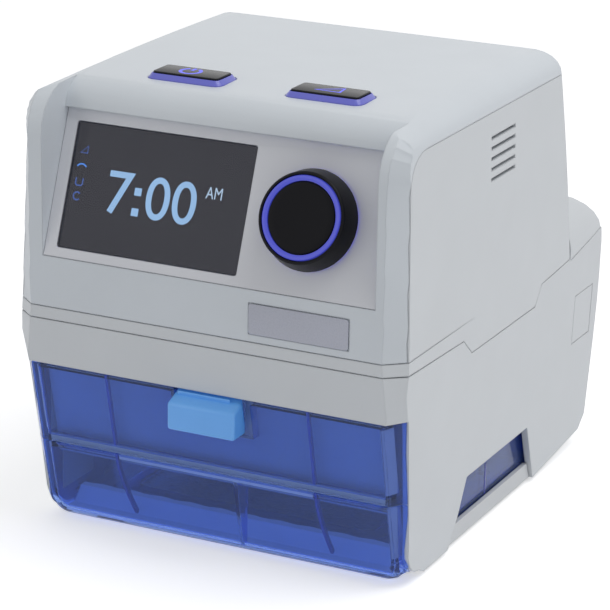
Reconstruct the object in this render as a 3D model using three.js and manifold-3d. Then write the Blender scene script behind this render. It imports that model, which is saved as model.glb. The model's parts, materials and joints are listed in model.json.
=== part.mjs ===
// A breathing-therapy air machine: a flow generator that stands on a heated humidifier base
// with a water tank that pulls out to the front. Millimetres, +X right, +Y back, +Z up.
import * as THREE from 'three';
import { mergeVertices } from 'three/addons/utils/BufferGeometryUtils.js';
import Module from 'manifold-3d';

const wasm = await Module();
wasm.setup();

// Whole machine: half width at the seam between the two units, and reaches from the build origin.
const seamHalfWidth = 82.5;
const seamHeight = 90.1;
const frontReach = 88;
const frontY = -frontReach;
const unitTop = 182.5;
const unitRearReach = 79.6;
const baseRearReach = 118.1;
const unitDraftShare = 0.03;
const baseDraftShare = 0.04;
const wall = 2.4;
const gap = 0.3;
const overrun = 30;

// Case of the flow generator: corner strips, shoulders, crown and roundings.
const stripWidth = 7.5;
const stripFrontHalf = seamHalfWidth - stripWidth;
const stripDepth = 6.3;
const stripLeanShare = 0.03;
const stripBaseLeanShare = 0.15;
const stripFadeShare = 0.55;
const shoulderWidth = 15;
const partInset = 10.5;
const partHeight = unitTop - partInset;
const crownMiddleY = 20;
const crownDrop = 1.6;
const crownReach = 85;
const frontRound = 18;
const rearTopRound = 4;
const rearLowHeight = 92;
const rearMidInset = 1.6;
const rearMidReach = unitRearReach - rearMidInset;
const rearMidDrop = 60.5;
const rearMidHeight = unitTop - rearMidDrop;
const rearTopInset = 12;
const rearTopReach = unitRearReach - rearTopInset;
const rearCornerRound = 1;

// Seam between the two units, seen from the side: a keel of the upper unit dips into the base.
const seamKeelFrontTop = 88.4;
const seamKeelFrontTopY = -30.5;
const seamKeelFrontY = -21.3;
const seamKeelRearInset = 30.5;
const seamKeelRearTopY = unitRearReach - seamKeelRearInset;
const seamKeelRise = 5.7;
const seamKeelRearY = seamKeelRearTopY - seamKeelRise;
const seamKeelRearTop = 89.2;
const seamRearTop = 91.3;
const keelHeight = 81.1;
const seamGap = 0.5;

// Recess of the control panel under a rounded brow.
const panelFootDrop = 66.9;
const panelFootHeight = unitTop - panelFootDrop;
const panelTiltDegrees = 20.6;
const panelLeftInset = 13.5;
const panelRightInset = 11;
const panelLeft = panelLeftInset - seamHalfWidth;
const panelRight = seamHalfWidth - panelRightInset;
const panelThickness = 2.5;
const panelSeat = 2;
const browRadius = 13;
const browInset = 31;
const browY = frontY + browInset;
const browDrop = 1.7;
const browHeight = partHeight - browDrop;
const panelWindowInset = 19.9;
const panelWindowHalf = seamHalfWidth - panelWindowInset;
const panelWindowLow = 8;
const panelWindowHigh = 50;

// Split between the front and top cover and the side housing.
const splitRound = 13.2;
const splitFrontInset = 21.8;
const splitFrontY = frontY + splitFrontInset;
const grooveDepth = 0.6;
const splitGap = 0.3;
const bandHeight = 95.2;
const bandGap = 0.5;
const grooveRearY = -20;

// Display: lens, liquid crystal module and its board, in the tilted panel's own frame.
const knobInset = 31.1;
const knobX = panelRight - knobInset;
const lensInset = 5.5;
const lensToKnob = 26.9;
const lensLeft = panelLeft + lensInset;
const lensRight = knobX - lensToKnob;
const lensLow = 4.2;
const lensHigh = 53;
const lensThickness = 1.2;
const lensCorner = 1;
const lensLedge = 3;
const lcdThickness = 4;
const lcdInset = 1.5;
const boardThickness = 1.6;
const displayBoardLow = 3;
const displayBoardHigh = 52;
const displayBoardInset = 22.5;
const displayBoardHalf = seamHalfWidth - displayBoardInset;

// Knob with a light ring on a push-and-turn encoder.
const knobRise = 26.9;
const knobHeight = panelFootHeight + knobRise;
const knobBaseRadius = 19.2;
const knobRimRadius = 17.3;
const knobStand = 10.2;
const knobRunning = 1.3;
const knobRingOuter = 15.8;
const knobRingInner = 13.2;
const knobFaceStep = 0.5;
const knobWall = 1.6;
const knobRimRound = 1;
const encoderShaftRadius = 3;
const encoderBushRadius = 4.5;
const encoderBodyHalf = 7;
const encoderTravel = 0.8;

// Two push buttons on the top cover, both a little right of the middle.
const buttonMiddleX = 2.6;
const buttonSpacing = 29.4;
const buttonInset = 41.7;
const buttonY = frontY + buttonInset;
const buttonLength = 32;
const buttonDepth = 16.5;
const buttonCorner = 3.4;
const buttonStand = 2.2;
const buttonSlope = 1.4;
const buttonCapInset = 1.2;
const buttonCapThickness = 0.8;
const buttonFlange = 1.2;
const buttonTravel = 1;
const buttonStem = 5;
const buttonStemRadius = 2.2;
const buttonClearance = 0.4;
const switchHalf = 3;
const switchHeight = 4.5;
const buttonBoardDepth = 16;

// Bare plate on the front, right of the middle.
const plateInset = 21.5;
const plateWidth = 41;
const plateRight = seamHalfWidth - plateInset;
const plateLeft = plateRight - plateWidth;
const plateLowShare = 0.1618;
const plateHighShare = 0.7451;
const plateLow = bandHeight + (panelFootHeight - bandHeight) * plateLowShare;
const plateHigh = bandHeight + (panelFootHeight - bandHeight) * plateHighShare;
const plateThickness = 0.9;
const platePocket = 0.5;
const plateCornerShare = 0.084;
const plateCorner = (plateHigh - plateLow) * plateCornerShare;

// Air slots in the right side wall.
const slotCount = 5;
const slotFrontY = -5;
const slotRearY = 19;
const slotTopDrop = 20.5;
const slotTopHeight = unitTop - slotTopDrop;
const slotPitch = 4.1;
const slotHeight = 1.5;

// Blower: volute halves, motor and impeller.
const voluteLeft = -22;
const voluteRightInset = 24.5;
const voluteRadius = (seamHalfWidth - voluteRightInset - voluteLeft) / 2;
const blowerX = voluteLeft + voluteRadius;
const blowerInset = 71.6;
const blowerY = unitRearReach - blowerInset;
const voluteLow = 96;
const voluteSplit = 116;
const voluteHigh = 134;
const neckHigh = 124;
const voluteWall = 2.2;
const outletWidth = 22;
const outletReach = 54.5;
const motorRadius = 17;
const motorTop = 106;
const motorShaftRadius = 2.5;
const impellerInset = 9;
const impellerRadius = voluteRadius - impellerInset;
const impellerDisc = 2;
const impellerLow = 108;
const impellerHigh = 126;
const impellerHub = 8;
const bladeCount = 9;
const bladeThickness = 1.6;
const bladeTurnDegrees = 38;
const inletEye = 16;
const blowerPostCount = 3;
const blowerPostRadius = 4;
const blowerPostRing = 29;

// Inlet muffler, filter and its door in the rear wall.
const mufflerHalfWidth = 40;
const mufflerFrontY = -26;
const mufflerRearInset = 29.6;
const mufflerRearY = unitRearReach - mufflerRearInset;
const mufflerDrop = 24.5;
const mufflerHigh = unitTop - mufflerDrop;
const mufflerWall = 2;
const filterX = 30;
const filterWidth = 48;
const filterHeight = 35;
const filterDrop = 19.5;
const filterHigh = unitTop - filterDrop;
const filterLow = filterHigh - filterHeight;
const filterDoorThickness = 1.8;
const filterThickness = 6;
const filterSlotCount = 6;
const filterSlotHeight = 1.8;
const filterSlotPitch = 4.4;
const mufflerNeckHalf = 18;
const mufflerNeckDrop = 44.5;
const mufflerNeckLow = unitTop - mufflerNeckDrop;

// Main board with its card socket, the card and the card's door in the left wall.
const boardInset = 8.5;
const boardToBlower = 4;
const boardLeft = boardInset - seamHalfWidth;
const boardRight = voluteLeft - boardToBlower;
const boardWidth = boardRight - boardLeft;
const boardFrontInset = 38;
const boardFrontY = frontY + boardFrontInset;
const boardRearInset = 23.6;
const boardRearY = unitRearReach - boardRearInset;
const boardHeight = 98;
const boardPartHeight = 16;

// Blocks on the main board: place across and along it, width, depth and height.
const boardPartShares = [
  [0.17, 0.08, 0.42, 0.13, 0.56],
  [0.67, 0.08, 0.21, 0.09, 1],
  [0.42, 0.3, 0.38, 0.17, 0.19],
  [0.71, 0.93, 0.25, 0.06, 0.5],
];
const cardWidth = 24;
const cardInset = 38;
const cardFrontY = boardRearY - cardInset;
const cardLength = 32;
const cardThickness = 2.1;
const cardHeight = 102;
const cardDoorMargin = 4;
const cardDoorFrontY = cardFrontY - cardDoorMargin;
const cardDoorRearY = cardFrontY + cardWidth + cardDoorMargin;
const cardDoorLow = 97;
const cardDoorHigh = 112;
const cardDoorThickness = 1.8;

// Power socket in the rear wall.
const jackInset = 30.5;
const jackX = jackInset - seamHalfWidth;
const jackHeight = 106;
const jackHalf = 7;
const jackLength = 18;
const jackBore = 4.6;
const jackPin = 1;
const jackDepth = 10;

// Screws that hold the tray to the housing.
const screwInset = 11.5;
const screwX = seamHalfWidth - screwInset;
const screwFrontInset = 26;
const screwFrontY = frontY + screwFrontInset;
const screwRearInset = 15.6;
const screwRearY = unitRearReach - screwRearInset;
const screwRadius = 1.5;
const screwHeadRadius = 3.2;
const screwHead = 1.4;
const screwLength = 10;
const bossRadius = 4.2;
const bossHeight = 16;

// Humidifier base: underside, front band, open front for the tank, and rear wall.
const baseBottom = 2;
const bandLow = 71.7;
const bandLowSet = 0.7;
const baseWall = 2.6;
const baseRearLowInset = 3.8;
const baseRearLowReach = baseRearReach - baseRearLowInset;
const baseRearLowHeight = 12;
const baseRearWideHeight = 62.6;
const baseRearTopInset = 1.3;
const baseRearTopReach = baseRearReach - baseRearTopInset;
const underRearRise = 4.7;
const underRearInset = 10.1;
const underRearEndY = baseRearReach - underRearInset;
const sideFootInset = 29.2;
const sideFootY = frontY + sideFootInset;
const sideFootHeight = 4.3;
const sideRound = 11.7;
const sideStraightInset = 15.8;
const sideStraightY = frontY + sideStraightInset;
const sideStraightHeight = 29.8;
const bayRearInset = 17.6;
const bayRearY = unitRearReach - bayRearInset;
const underRearGap = 4;
const underRearY = bayRearY - underRearGap;
const towerGap = 1.4;
const towerFrontY = unitRearReach + towerGap;
const towerSeamFront = 90.4;
const towerSeamRear = 96;
const towerRoundLow = 95.5;
const towerTop = 111.5;
const towerRoundShare = 0.391;
const towerRound = (baseRearTopReach - towerFrontY) * towerRoundShare;
const towerPower = 1.8;
const towerSteps = 6;

// Windows in both side walls that show the tank.
const windowTop = 28;
const windowFrontY = -17;
const windowMidY = -23.6;
const windowMidHeight = 13.8;
const windowFootY = -31.5;
const windowRearY = 45.7;
const windowRearFootY = 56.8;

// Base floor, its rails and guides, and the heater in it.
const floorFrontInset = 32;
const floorFrontY = frontY + floorFrontInset;
const floorThickness = 1.6;
const guideInset = 6.6;
const guideX = seamHalfWidth - guideInset;
const guideThickness = 1.8;
const guideHeight = 9.2;
const railInset = 7.9;
const railX = guideX - railInset;
const railWidth = 3;
const heaterTop = 7.1;
const heaterInset = 19.9;
const heaterHalf = guideX - heaterInset;
const heaterFrontInset = 41;
const heaterFrontY = frontY + heaterFrontInset;
const heaterRearInset = 18;
const heaterRearY = bayRearY - heaterRearInset;
const heaterThickness = 1.9;
const heaterFrame = 4;
const elementThickness = 1;

// Water tank.
const tankGap = 0.5;
const tankHalf = guideX - tankGap;
const tankRearGap = 4;
const tankRearY = bayRearY - tankRearGap;
const tankUnderside = 7.4;
const tankWall = 2.2;
const tankLip = 3;
const tankFrontInset = 0.7;
const tankFrontTopY = frontY + tankFrontInset;
const tankFootInset = 14.6;
const tankFrontFootY = frontY + tankFootInset;
const tankFootRound = 8;
const tankSplit = 36.4;
const tankSplitGap = 0.4;
const tankRibX = 9;
const tankFrontLow = 1.7;
const tankCornerRound = 5;
const tankTopGap = 0.4;
const plateMargin = 2;
const plateHalf = heaterHalf + plateMargin;
const plateFrontInset = 38;
const plateFrontY = frontY + plateFrontInset;
const plateRearY = heaterRearY + plateMargin;
const plateSheet = 0.8;
const plateRim = 5;
const gasketWidth = 1.6;
const gasketHeight = 1.6;
const portLeftX = -35;
const portInset = 24.4;
const portRightX = tankHalf - portInset;
const portHeight = 55;
const portRadius = 8;
const sealWall = 2.2;

// Latch in the lid's front and its spring.
const latchX = 2.4;
const latchHalf = 14.4;
const latchLow = 56.4;
const latchHigh = 70.6;
const latchStand = 6;
const latchTopDrop = 3.3;
const latchTravel = 3;
const latchStemHalf = 10;
const latchStemHeight = 6;
const latchStemDepth = 8;
const springTurns = 5;
const springRadius = 2.4;
const springWire = 0.8;
const springSteps = 8;
const springSides = 5;

// Ducts, outlet for the hose, dock plug and board in the base's rear part.
const ductWall = 1.8;
const ductHalf = 10;
const airDuctDepth = 10.2;
const outletLength = 18;
const outletRootRadius = 11.2;
const outletTipRadius = 11;
const outletBore = 9;
const outletFlange = 3;
const outletFlangeRadius = 15;
const dockHalf = 12;
const dockInset = 18.6;
const dockFrontY = unitRearReach - dockInset;
const dockDepth = 8;
const dockStand = 3;
const dockBody = 9;
const heaterBoardHalf = 18;
const heaterBoardGap = 8;
const heaterBoardFrontY = bayRearY + heaterBoardGap;
const heaterBoardInset = 16.1;
const heaterBoardRearY = baseRearReach - heaterBoardInset;
const heaterBoardHeight = 14;

// Squeeze tabs in the side walls that let the upper unit go.
const tabFrontY = 90.6;
const tabRearY = 110.4;
const tabLow = 51;
const tabHigh = 72;
const tabGap = 0.35;

// Rubber feet.
const footRadius = 8;
const footInset = 22.5;
const footX = seamHalfWidth - footInset;
const footFrontInset = 44;
const footFrontY = frontY + footFrontInset;
const footRearInset = 16;
const footRearY = bayRearY - footRearInset;
const footSpigot = 3;
const footSpigotHeight = 1.4;

const roundSegments = 32;
const stripLevels = 4;
const splitLow = partHeight - splitRound;
const smallSegments = 16;
const arcSteps = 6;
const panelTilt = THREE.MathUtils.degToRad(panelTiltDegrees);

// A closed surface as a solid. Triangles with a repeated corner are left out.
function solidOf(geometry) {
  const bare = new THREE.BufferGeometry();
  const flat = geometry.index ? geometry.toNonIndexed() : geometry;
  bare.setAttribute('position', flat.getAttribute('position').clone());
  const merged = mergeVertices(bare);
  const corners = merged.index.array;
  const points = merged.getAttribute('position').array;
  const kept = [];
  let volume = 0;
  for (let i = 0; i < corners.length; i += 3) {
    const [a, b, c] = [corners[i], corners[i + 1], corners[i + 2]];
    if (a === b || b === c || a === c) continue;
    kept.push(a, b, c);
    const p = new THREE.Vector3().fromArray(points, a * 3);
    const q = new THREE.Vector3().fromArray(points, b * 3);
    const r = new THREE.Vector3().fromArray(points, c * 3);
    volume += p.dot(q.cross(r));
  }
  if (volume < 0) {
    for (let i = 0; i < kept.length; i += 3) [kept[i + 1], kept[i + 2]] = [kept[i + 2], kept[i + 1]];
  }
  const triVerts = new Uint32Array(kept);
  return new wasm.Manifold(new wasm.Mesh({ numProp: 3, vertProperties: points, triVerts }));
}

function join(first, ...others) {
  return others.reduce((whole, other) => whole.add(other), first);
}

function cut(first, ...tools) {
  return tools.reduce((rest, tool) => rest.subtract(tool), first);
}

function common(first, ...others) {
  return others.reduce((shared, other) => shared.intersect(other), first);
}

function geometryOf(solid) {
  const mesh = solid.getMesh();
  const geometry = new THREE.BufferGeometry();
  geometry.setAttribute('position', new THREE.BufferAttribute(new Float32Array(mesh.vertProperties), 3));
  geometry.setIndex(Array.from(mesh.triVerts));
  const faceted = geometry.toNonIndexed();
  faceted.computeVertexNormals();
  return faceted;
}

// Points of an arc of an ellipse, from one angle to another in degrees.
function arc(centreA, centreB, radiusA, radiusB, fromDegrees, toDegrees, steps = arcSteps) {
  const points = [];
  for (let i = 0; i <= steps; i += 1) {
    const angle = THREE.MathUtils.degToRad(fromDegrees + ((toDegrees - fromDegrees) * i) / steps);
    points.push([centreA + radiusA * Math.cos(angle), centreB + radiusB * Math.sin(angle)]);
  }
  return points;
}

function outline(points) {
  return new THREE.Shape(points.map(([a, b]) => new THREE.Vector2(a, b)));
}

// Prisms of an outline in the plane of two axes, drawn out along the third.
function extruded(points, depth) {
  return new THREE.ExtrudeGeometry(outline(points), { depth, bevelEnabled: false });
}

function prismX(pointsYZ, fromX, toX) {
  const turn = new THREE.Matrix4().makeBasis(
    new THREE.Vector3(0, 1, 0),
    new THREE.Vector3(0, 0, 1),
    new THREE.Vector3(1, 0, 0),
  );
  return solidOf(extruded(pointsYZ, toX - fromX).applyMatrix4(turn).translate(fromX, 0, 0));
}

function prismY(pointsXZ, fromY, toY) {
  const turn = new THREE.Matrix4().makeBasis(
    new THREE.Vector3(1, 0, 0),
    new THREE.Vector3(0, 0, 1),
    new THREE.Vector3(0, -1, 0),
  );
  return solidOf(extruded(pointsXZ, toY - fromY).applyMatrix4(turn).translate(0, toY, 0));
}

function prismZ(pointsXY, fromZ, toZ) {
  return solidOf(extruded(pointsXY, toZ - fromZ).translate(0, 0, fromZ));
}

function box(fromX, toX, fromY, toY, fromZ, toZ) {
  const geometry = new THREE.BoxGeometry(toX - fromX, toY - fromY, toZ - fromZ);
  return solidOf(geometry.translate((fromX + toX) / 2, (fromY + toY) / 2, (fromZ + toZ) / 2));
}

// A rectangle with round corners as a list of points.
function roundedRectangle(fromA, toA, fromB, toB, radius, steps = arcSteps) {
  return [
    ...arc(toA - radius, toB - radius, radius, radius, 0, 90, steps),
    ...arc(fromA + radius, toB - radius, radius, radius, 90, 180, steps),
    ...arc(fromA + radius, fromB + radius, radius, radius, 180, 270, steps),
    ...arc(toA - radius, fromB + radius, radius, radius, 270, 360, steps),
  ];
}

// A turned solid about the Z axis, from [radius, height] points that start and end on the axis.
function turned(profile, segments = roundSegments) {
  const points = profile.map(([radius, height]) => new THREE.Vector2(radius, height));
  return solidOf(new THREE.LatheGeometry(points, segments).rotateX(Math.PI / 2));
}

function rodZ(x, y, radius, fromZ, toZ, segments = smallSegments) {
  const rod = new THREE.CylinderGeometry(radius, radius, toZ - fromZ, segments).rotateX(Math.PI / 2);
  return solidOf(rod.translate(x, y, (fromZ + toZ) / 2));
}

function rodY(x, z, radius, fromY, toY, segments = roundSegments) {
  const rod = new THREE.CylinderGeometry(radius, radius, toY - fromY, segments);
  return solidOf(rod.translate(x, (fromY + toY) / 2, z));
}

// A skin through rings of points with the same count, closed by a flat fan at both ends.
function loft(rings) {
  const count = rings[0].length;
  const corners = [];
  for (let r = 0; r + 1 < rings.length; r += 1) {
    for (let i = 0; i < count; i += 1) {
      const next = (i + 1) % count;
      corners.push(rings[r][i], rings[r][next], rings[r + 1][next]);
      corners.push(rings[r][i], rings[r + 1][next], rings[r + 1][i]);
    }
  }
  for (let i = 1; i + 1 < count; i += 1) {
    const last = rings[rings.length - 1];
    corners.push(rings[0][0], rings[0][i + 1], rings[0][i]);
    corners.push(last[0], last[i], last[i + 1]);
  }
  const geometry = new THREE.BufferGeometry();
  geometry.setAttribute('position', new THREE.Float32BufferAttribute(corners.flat(), 3));
  return solidOf(geometry);
}

function mirrored(solid) {
  return solidOf(geometryOf(solid).scale(-1, 1, 1));
}

// Half width of both units at a height, with the draft of each.
function halfWidthAt(height) {
  const above = height - seamHeight;
  return seamHalfWidth - (above > 0 ? unitDraftShare * above : -baseDraftShare * above);
}

function crownAt(y) {
  const reach = (y - crownMiddleY) / crownReach;
  return unitTop - crownDrop * reach * reach;
}

// Rear edge of the corner strip at a height: it leans, then turns back under the cover's arch.
function stripEdgeAt(height) {
  const above = Math.min(height, splitLow) - seamHeight;
  const straight = frontY + stripDepth + (above > 0 ? stripLeanShare * above : -stripBaseLeanShare * above);
  if (height <= splitLow) return straight;
  const share = Math.min((height - splitLow) / splitRound, 1);
  return splitFrontY - (splitFrontY - straight) * Math.sqrt(1 - share * share);
}

// Outside of a front corner strip over a list of heights, to be cut away from a plain block.
function stripCut(heights, frontAt, inset) {
  const rings = [];
  for (const z of heights) {
    const start = new THREE.Vector2(stripFrontHalf, frontAt(z));
    const end = new THREE.Vector2(halfWidthAt(Math.min(z, partHeight)), stripEdgeAt(z));
    const along = end.clone().sub(start).normalize();
    const inward = new THREE.Vector2(-along.y, along.x).multiplyScalar(inset);
    const from = start.clone().add(inward).addScaledVector(along, -stripDepth);
    const to = end.clone().add(inward).addScaledVector(along, stripDepth);
    rings.push([
      [from.x, from.y, z],
      [to.x, to.y, z],
      [to.x + overrun, to.y - overrun, z],
      [from.x + overrun, from.y - overrun, z],
    ]);
  }
  return loft(rings);
}

// Outside of a front corner strip that follows the upper unit's front and its arch to the top.
function archedStripCut(lowZ, inset) {
  const archY = frontY + frontRound;
  const archZ = crownAt(archY) - frontRound;
  const straight = [lowZ - stripDepth, ...stepsBetween(seamHeight, archZ, stripLevels).slice(0, -1)];
  const arched = arc(archY, archZ, frontRound, frontRound, 180, 90);
  const places = [
    ...straight.map((z) => [frontY, z, 0]),
    ...arched.map(([y, z], i) => [y, z, i / (arched.length - 1)]),
  ];
  return loft(places.map(([y, z, turn]) => {
    const angle = (turn * Math.PI) / 2;
    const depth = (stripEdgeAt(Math.min(z, splitLow)) - frontY) * (1 - stripFadeShare * turn);
    const start = new THREE.Vector2(stripFrontHalf, 0);
    const end = new THREE.Vector2(halfWidthAt(Math.min(z, partHeight)), depth);
    const along = end.clone().sub(start).normalize();
    const inward = new THREE.Vector2(-along.y, along.x).multiplyScalar(inset);
    const from = start.clone().add(inward).addScaledVector(along, -stripDepth);
    const to = end.clone().add(inward).addScaledVector(along, stripDepth);
    return [
      [from.x, from.y],
      [to.x, to.y],
      [to.x + overrun, to.y - overrun],
      [from.x + overrun, from.y - overrun],
    ].map(([x, deep]) => [x, y + deep * Math.cos(angle), z - deep * Math.sin(angle)]);
  }));
}

function withStrips(block, heights, frontAt, inset) {
  const right = stripCut(heights, frontAt, inset);
  return cut(block, right, mirrored(right));
}

function stepsBetween(low, high, steps) {
  return Array.from({ length: steps + 1 }, (_, i) => low + ((high - low) * i) / steps);
}

// Side view of the upper unit as [y, z] points, drawn in by an inset.
function unitSideView(inset, lowZ) {
  const front = frontY + inset;
  const archY = frontY + frontRound;
  const archZ = crownAt(archY) - frontRound;
  const rearRound = Math.max(rearTopRound - inset, rearTopRound / 8);
  const rearTop = crownAt(rearTopReach) - inset;
  const rear = new THREE.QuadraticBezierCurve(
    new THREE.Vector2(unitRearReach - inset, rearLowHeight),
    new THREE.Vector2(rearMidReach - inset, rearMidHeight),
    new THREE.Vector2(rearTopReach - inset, partHeight),
  );
  return [
    [front, lowZ],
    [unitRearReach - inset, lowZ],
    ...rear.getPoints(arcSteps).map((point) => [point.x, point.y]),
    ...arc(rearTopReach - inset - rearRound, rearTop - rearRound, rearRound, rearRound, 0, 90, 3),
    [rearTopReach - inset - rearRound, rearTop + overrun],
    [archY, unitTop + overrun],
    ...arc(archY, archZ, frontRound - inset, frontRound - inset, 90, 180),
  ];
}

// Outer form of the upper unit, drawn in by an inset on every side.
function unitForm(inset) {
  const lowZ = keelHeight - wall;
  const stations = [];
  const steps = 8;
  for (let i = 0; i <= steps; i += 1) {
    stations.push(frontY - overrun / steps + ((unitRearReach + frontReach + overrun / 2) * i) / steps);
  }
  const rings = stations.map((y) => {
    const top = crownAt(Math.max(y, frontY)) - inset;
    const side = halfWidthAt(partHeight) - inset;
    const flat = halfWidthAt(partHeight) - shoulderWidth;
    const right = [
      [halfWidthAt(lowZ) - inset, lowZ],
      [halfWidthAt(seamHeight) - inset, seamHeight],
      ...arc(flat, partHeight, side - flat, top - partHeight, 0, 90),
    ];
    const left = right.map(([x, z]) => [-x, z]).reverse();
    return [...right, ...left].map(([x, z]) => [x, y, z]);
  });
  const block = common(
    loft(rings),
    prismX(unitSideView(inset, lowZ - gap), -seamHalfWidth - overrun, seamHalfWidth + overrun),
  );
  const right = archedStripCut(lowZ, inset);
  return cut(block, right, mirrored(right));
}

// Seam line of the two units in side view, raised by a given amount.
function seamLine(raise) {
  return [
    [frontY - overrun, seamHeight + raise],
    [stripEdgeAt(seamHeight), seamHeight + raise],
    [seamKeelFrontTopY, seamKeelFrontTop + raise],
    [seamKeelFrontY, keelHeight + raise],
    [seamKeelRearY, keelHeight + raise],
    [seamKeelRearTopY, seamKeelRearTop + raise],
    [unitRearReach, seamRearTop + raise],
    [unitRearReach + overrun, seamRearTop + raise],
  ];
}

function aboveSeam(raise) {
  const top = [[unitRearReach + overrun, unitTop + overrun], [frontY - overrun, unitTop + overrun]];
  return prismX([...seamLine(raise), ...top], -seamHalfWidth - overrun, seamHalfWidth + overrun);
}

// Depth of the panel plane behind the front face at a height, set back by a depth below its face.
function panelY(height, depth) {
  return frontY + (height - panelFootHeight) * Math.tan(panelTilt) + depth / Math.cos(panelTilt);
}

// Recess for the panel below the brow, cut to a depth below the panel's face and grown by an amount.
function panelRecess(depth, grow) {
  const low = panelFootHeight;
  const points = [
    [frontY - overrun, low],
    [panelY(low, depth), low],
    [panelY(browHeight, depth), browHeight],
    ...arc(browY, browHeight, browRadius - grow, crownAt(browY) - browHeight - grow, 180, 90),
    [browY, unitTop + overrun],
    [frontY - overrun, unitTop + overrun],
  ];
  return prismX(points, panelLeft - grow, panelRight + grow);
}

function unitShell() {
  const depth = panelThickness + gap;
  const outer = cut(unitForm(0), panelRecess(depth, 0));
  const behind = panelRecess(depth + panelSeat, wall);
  const lifted = cut(behind, box(-overrun * 4, overrun * 4, frontY, 0, 0, panelFootHeight - panelSeat));
  const floorOfRecess = box(
    panelLeft - wall, panelRight + wall, frontY, panelY(panelFootHeight, depth + panelSeat),
    panelFootHeight - panelSeat, panelFootHeight + panelSeat,
  );
  const inner = cut(unitForm(wall), lifted, floorOfRecess);
  return cut(outer, inner);
}

// Matrix of the tilted panel: X right, Y up the slope, Z out of the face, from the foot's middle.
const panelFrame = new THREE.Matrix4()
  .makeTranslation(0, frontY, panelFootHeight)
  .multiply(new THREE.Matrix4().makeRotationX(Math.PI / 2 - panelTilt));

function inMachine(solid) {
  return solidOf(geometryOf(solid).applyMatrix4(panelFrame));
}

const knobUp = (knobHeight - panelFootHeight) / Math.cos(panelTilt);

// Side view of the cover's share of the shell: everything above the part line and before the strips.
function splitView(shrink) {
  const strip = (height) => stripEdgeAt(height) - shrink;
  const low = bandHeight + (shrink > 0 ? bandGap : -bandGap) / 2;
  return [
    [frontY - overrun, low],
    [strip(bandHeight), low],
    ...arc(splitFrontY, splitLow, splitFrontY - strip(splitLow), splitRound + shrink, 180, 90),
    [unitRearReach + overrun, partHeight + shrink],
    [unitRearReach + overrun, unitTop + overrun],
    [frontY - overrun, unitTop + overrun],
  ];
}

// The cover's share of the shell, with the seat of the panel, which lies behind the split.
function coverShare(shrink) {
  const seat = box(
    panelLeft - wall + shrink, panelRight + wall - shrink, frontY - overrun, browY,
    panelFootHeight - panelSeat + shrink, partHeight + overrun,
  );
  return join(across(splitView(shrink)), seat);
}

function across(points) {
  return prismX(points, -seamHalfWidth - overrun, seamHalfWidth + overrun);
}

function buttonPlan(centreX, grow) {
  const halfX = buttonLength / 2 + grow;
  const halfY = buttonDepth / 2 + grow;
  return roundedRectangle(
    centreX - halfX, centreX + halfX, buttonY - halfY, buttonY + halfY, buttonCorner + grow, 3,
  );
}

const buttonDeck = crownAt(buttonY);
const powerX = buttonMiddleX - buttonSpacing;
const rampX = buttonMiddleX + buttonSpacing;

function buttonHole(centreX) {
  return prismZ(buttonPlan(centreX, buttonClearance), buttonDeck - overrun, buttonDeck + overrun);
}

const shell = unitShell();

function topCover() {
  const panelWindow = inMachine(
    box(-panelWindowHalf, panelWindowHalf, panelWindowLow, panelWindowHigh, -overrun / 2, overrun / 3),
  );
  const platePocketBox = box(
    plateLeft - gap, plateRight + gap, frontY - overrun, frontY + platePocket,
    plateLow - gap, plateHigh + gap,
  );
  return cut(
    common(shell, coverShare(splitGap / 2)),
    panelWindow, platePocketBox, buttonHole(powerX), buttonHole(rampX),
  );
}

function screwPlaces() {
  const places = [];
  for (const y of [screwFrontY, screwRearY]) for (const x of [-screwX, screwX]) places.push([x, y]);
  return places;
}

// Underside height of the tray's floor at a place along the seam.
function seamHeightAt(y) {
  const line = seamLine(seamGap / 2);
  for (let i = 0; i + 1 < line.length; i += 1) {
    const [[y0, z0], [y1, z1]] = [line[i], line[i + 1]];
    if (y >= y0 && y <= y1) return z0 + ((z1 - z0) * (y - y0)) / (y1 - y0);
  }
  return seamHeight;
}

function filterOpening(shrink) {
  return box(
    filterX - filterWidth / 2 + shrink, filterX + filterWidth / 2 - shrink,
    rearTopReach - filterThickness, unitRearReach + overrun, filterLow + shrink, filterHigh - shrink,
  );
}

function cardOpening(shrink) {
  return box(
    -seamHalfWidth - overrun, -seamHalfWidth + wall * 3,
    cardDoorFrontY + shrink, cardDoorRearY - shrink, cardDoorLow + shrink, cardDoorHigh - shrink,
  );
}

// Groove that carries the line of the cover's lower edge back along a side wall, where it runs out.
function sideGroove() {
  const half = halfWidthAt(bandHeight);
  const plan = [
    [half - grooveDepth, stripEdgeAt(bandHeight)],
    [half, grooveRearY],
    [half + grooveDepth, grooveRearY],
    [half + grooveDepth, stripEdgeAt(bandHeight)],
  ];
  return prismZ(plan, bandHeight - bandGap / 2, bandHeight + bandGap / 2);
}

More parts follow.
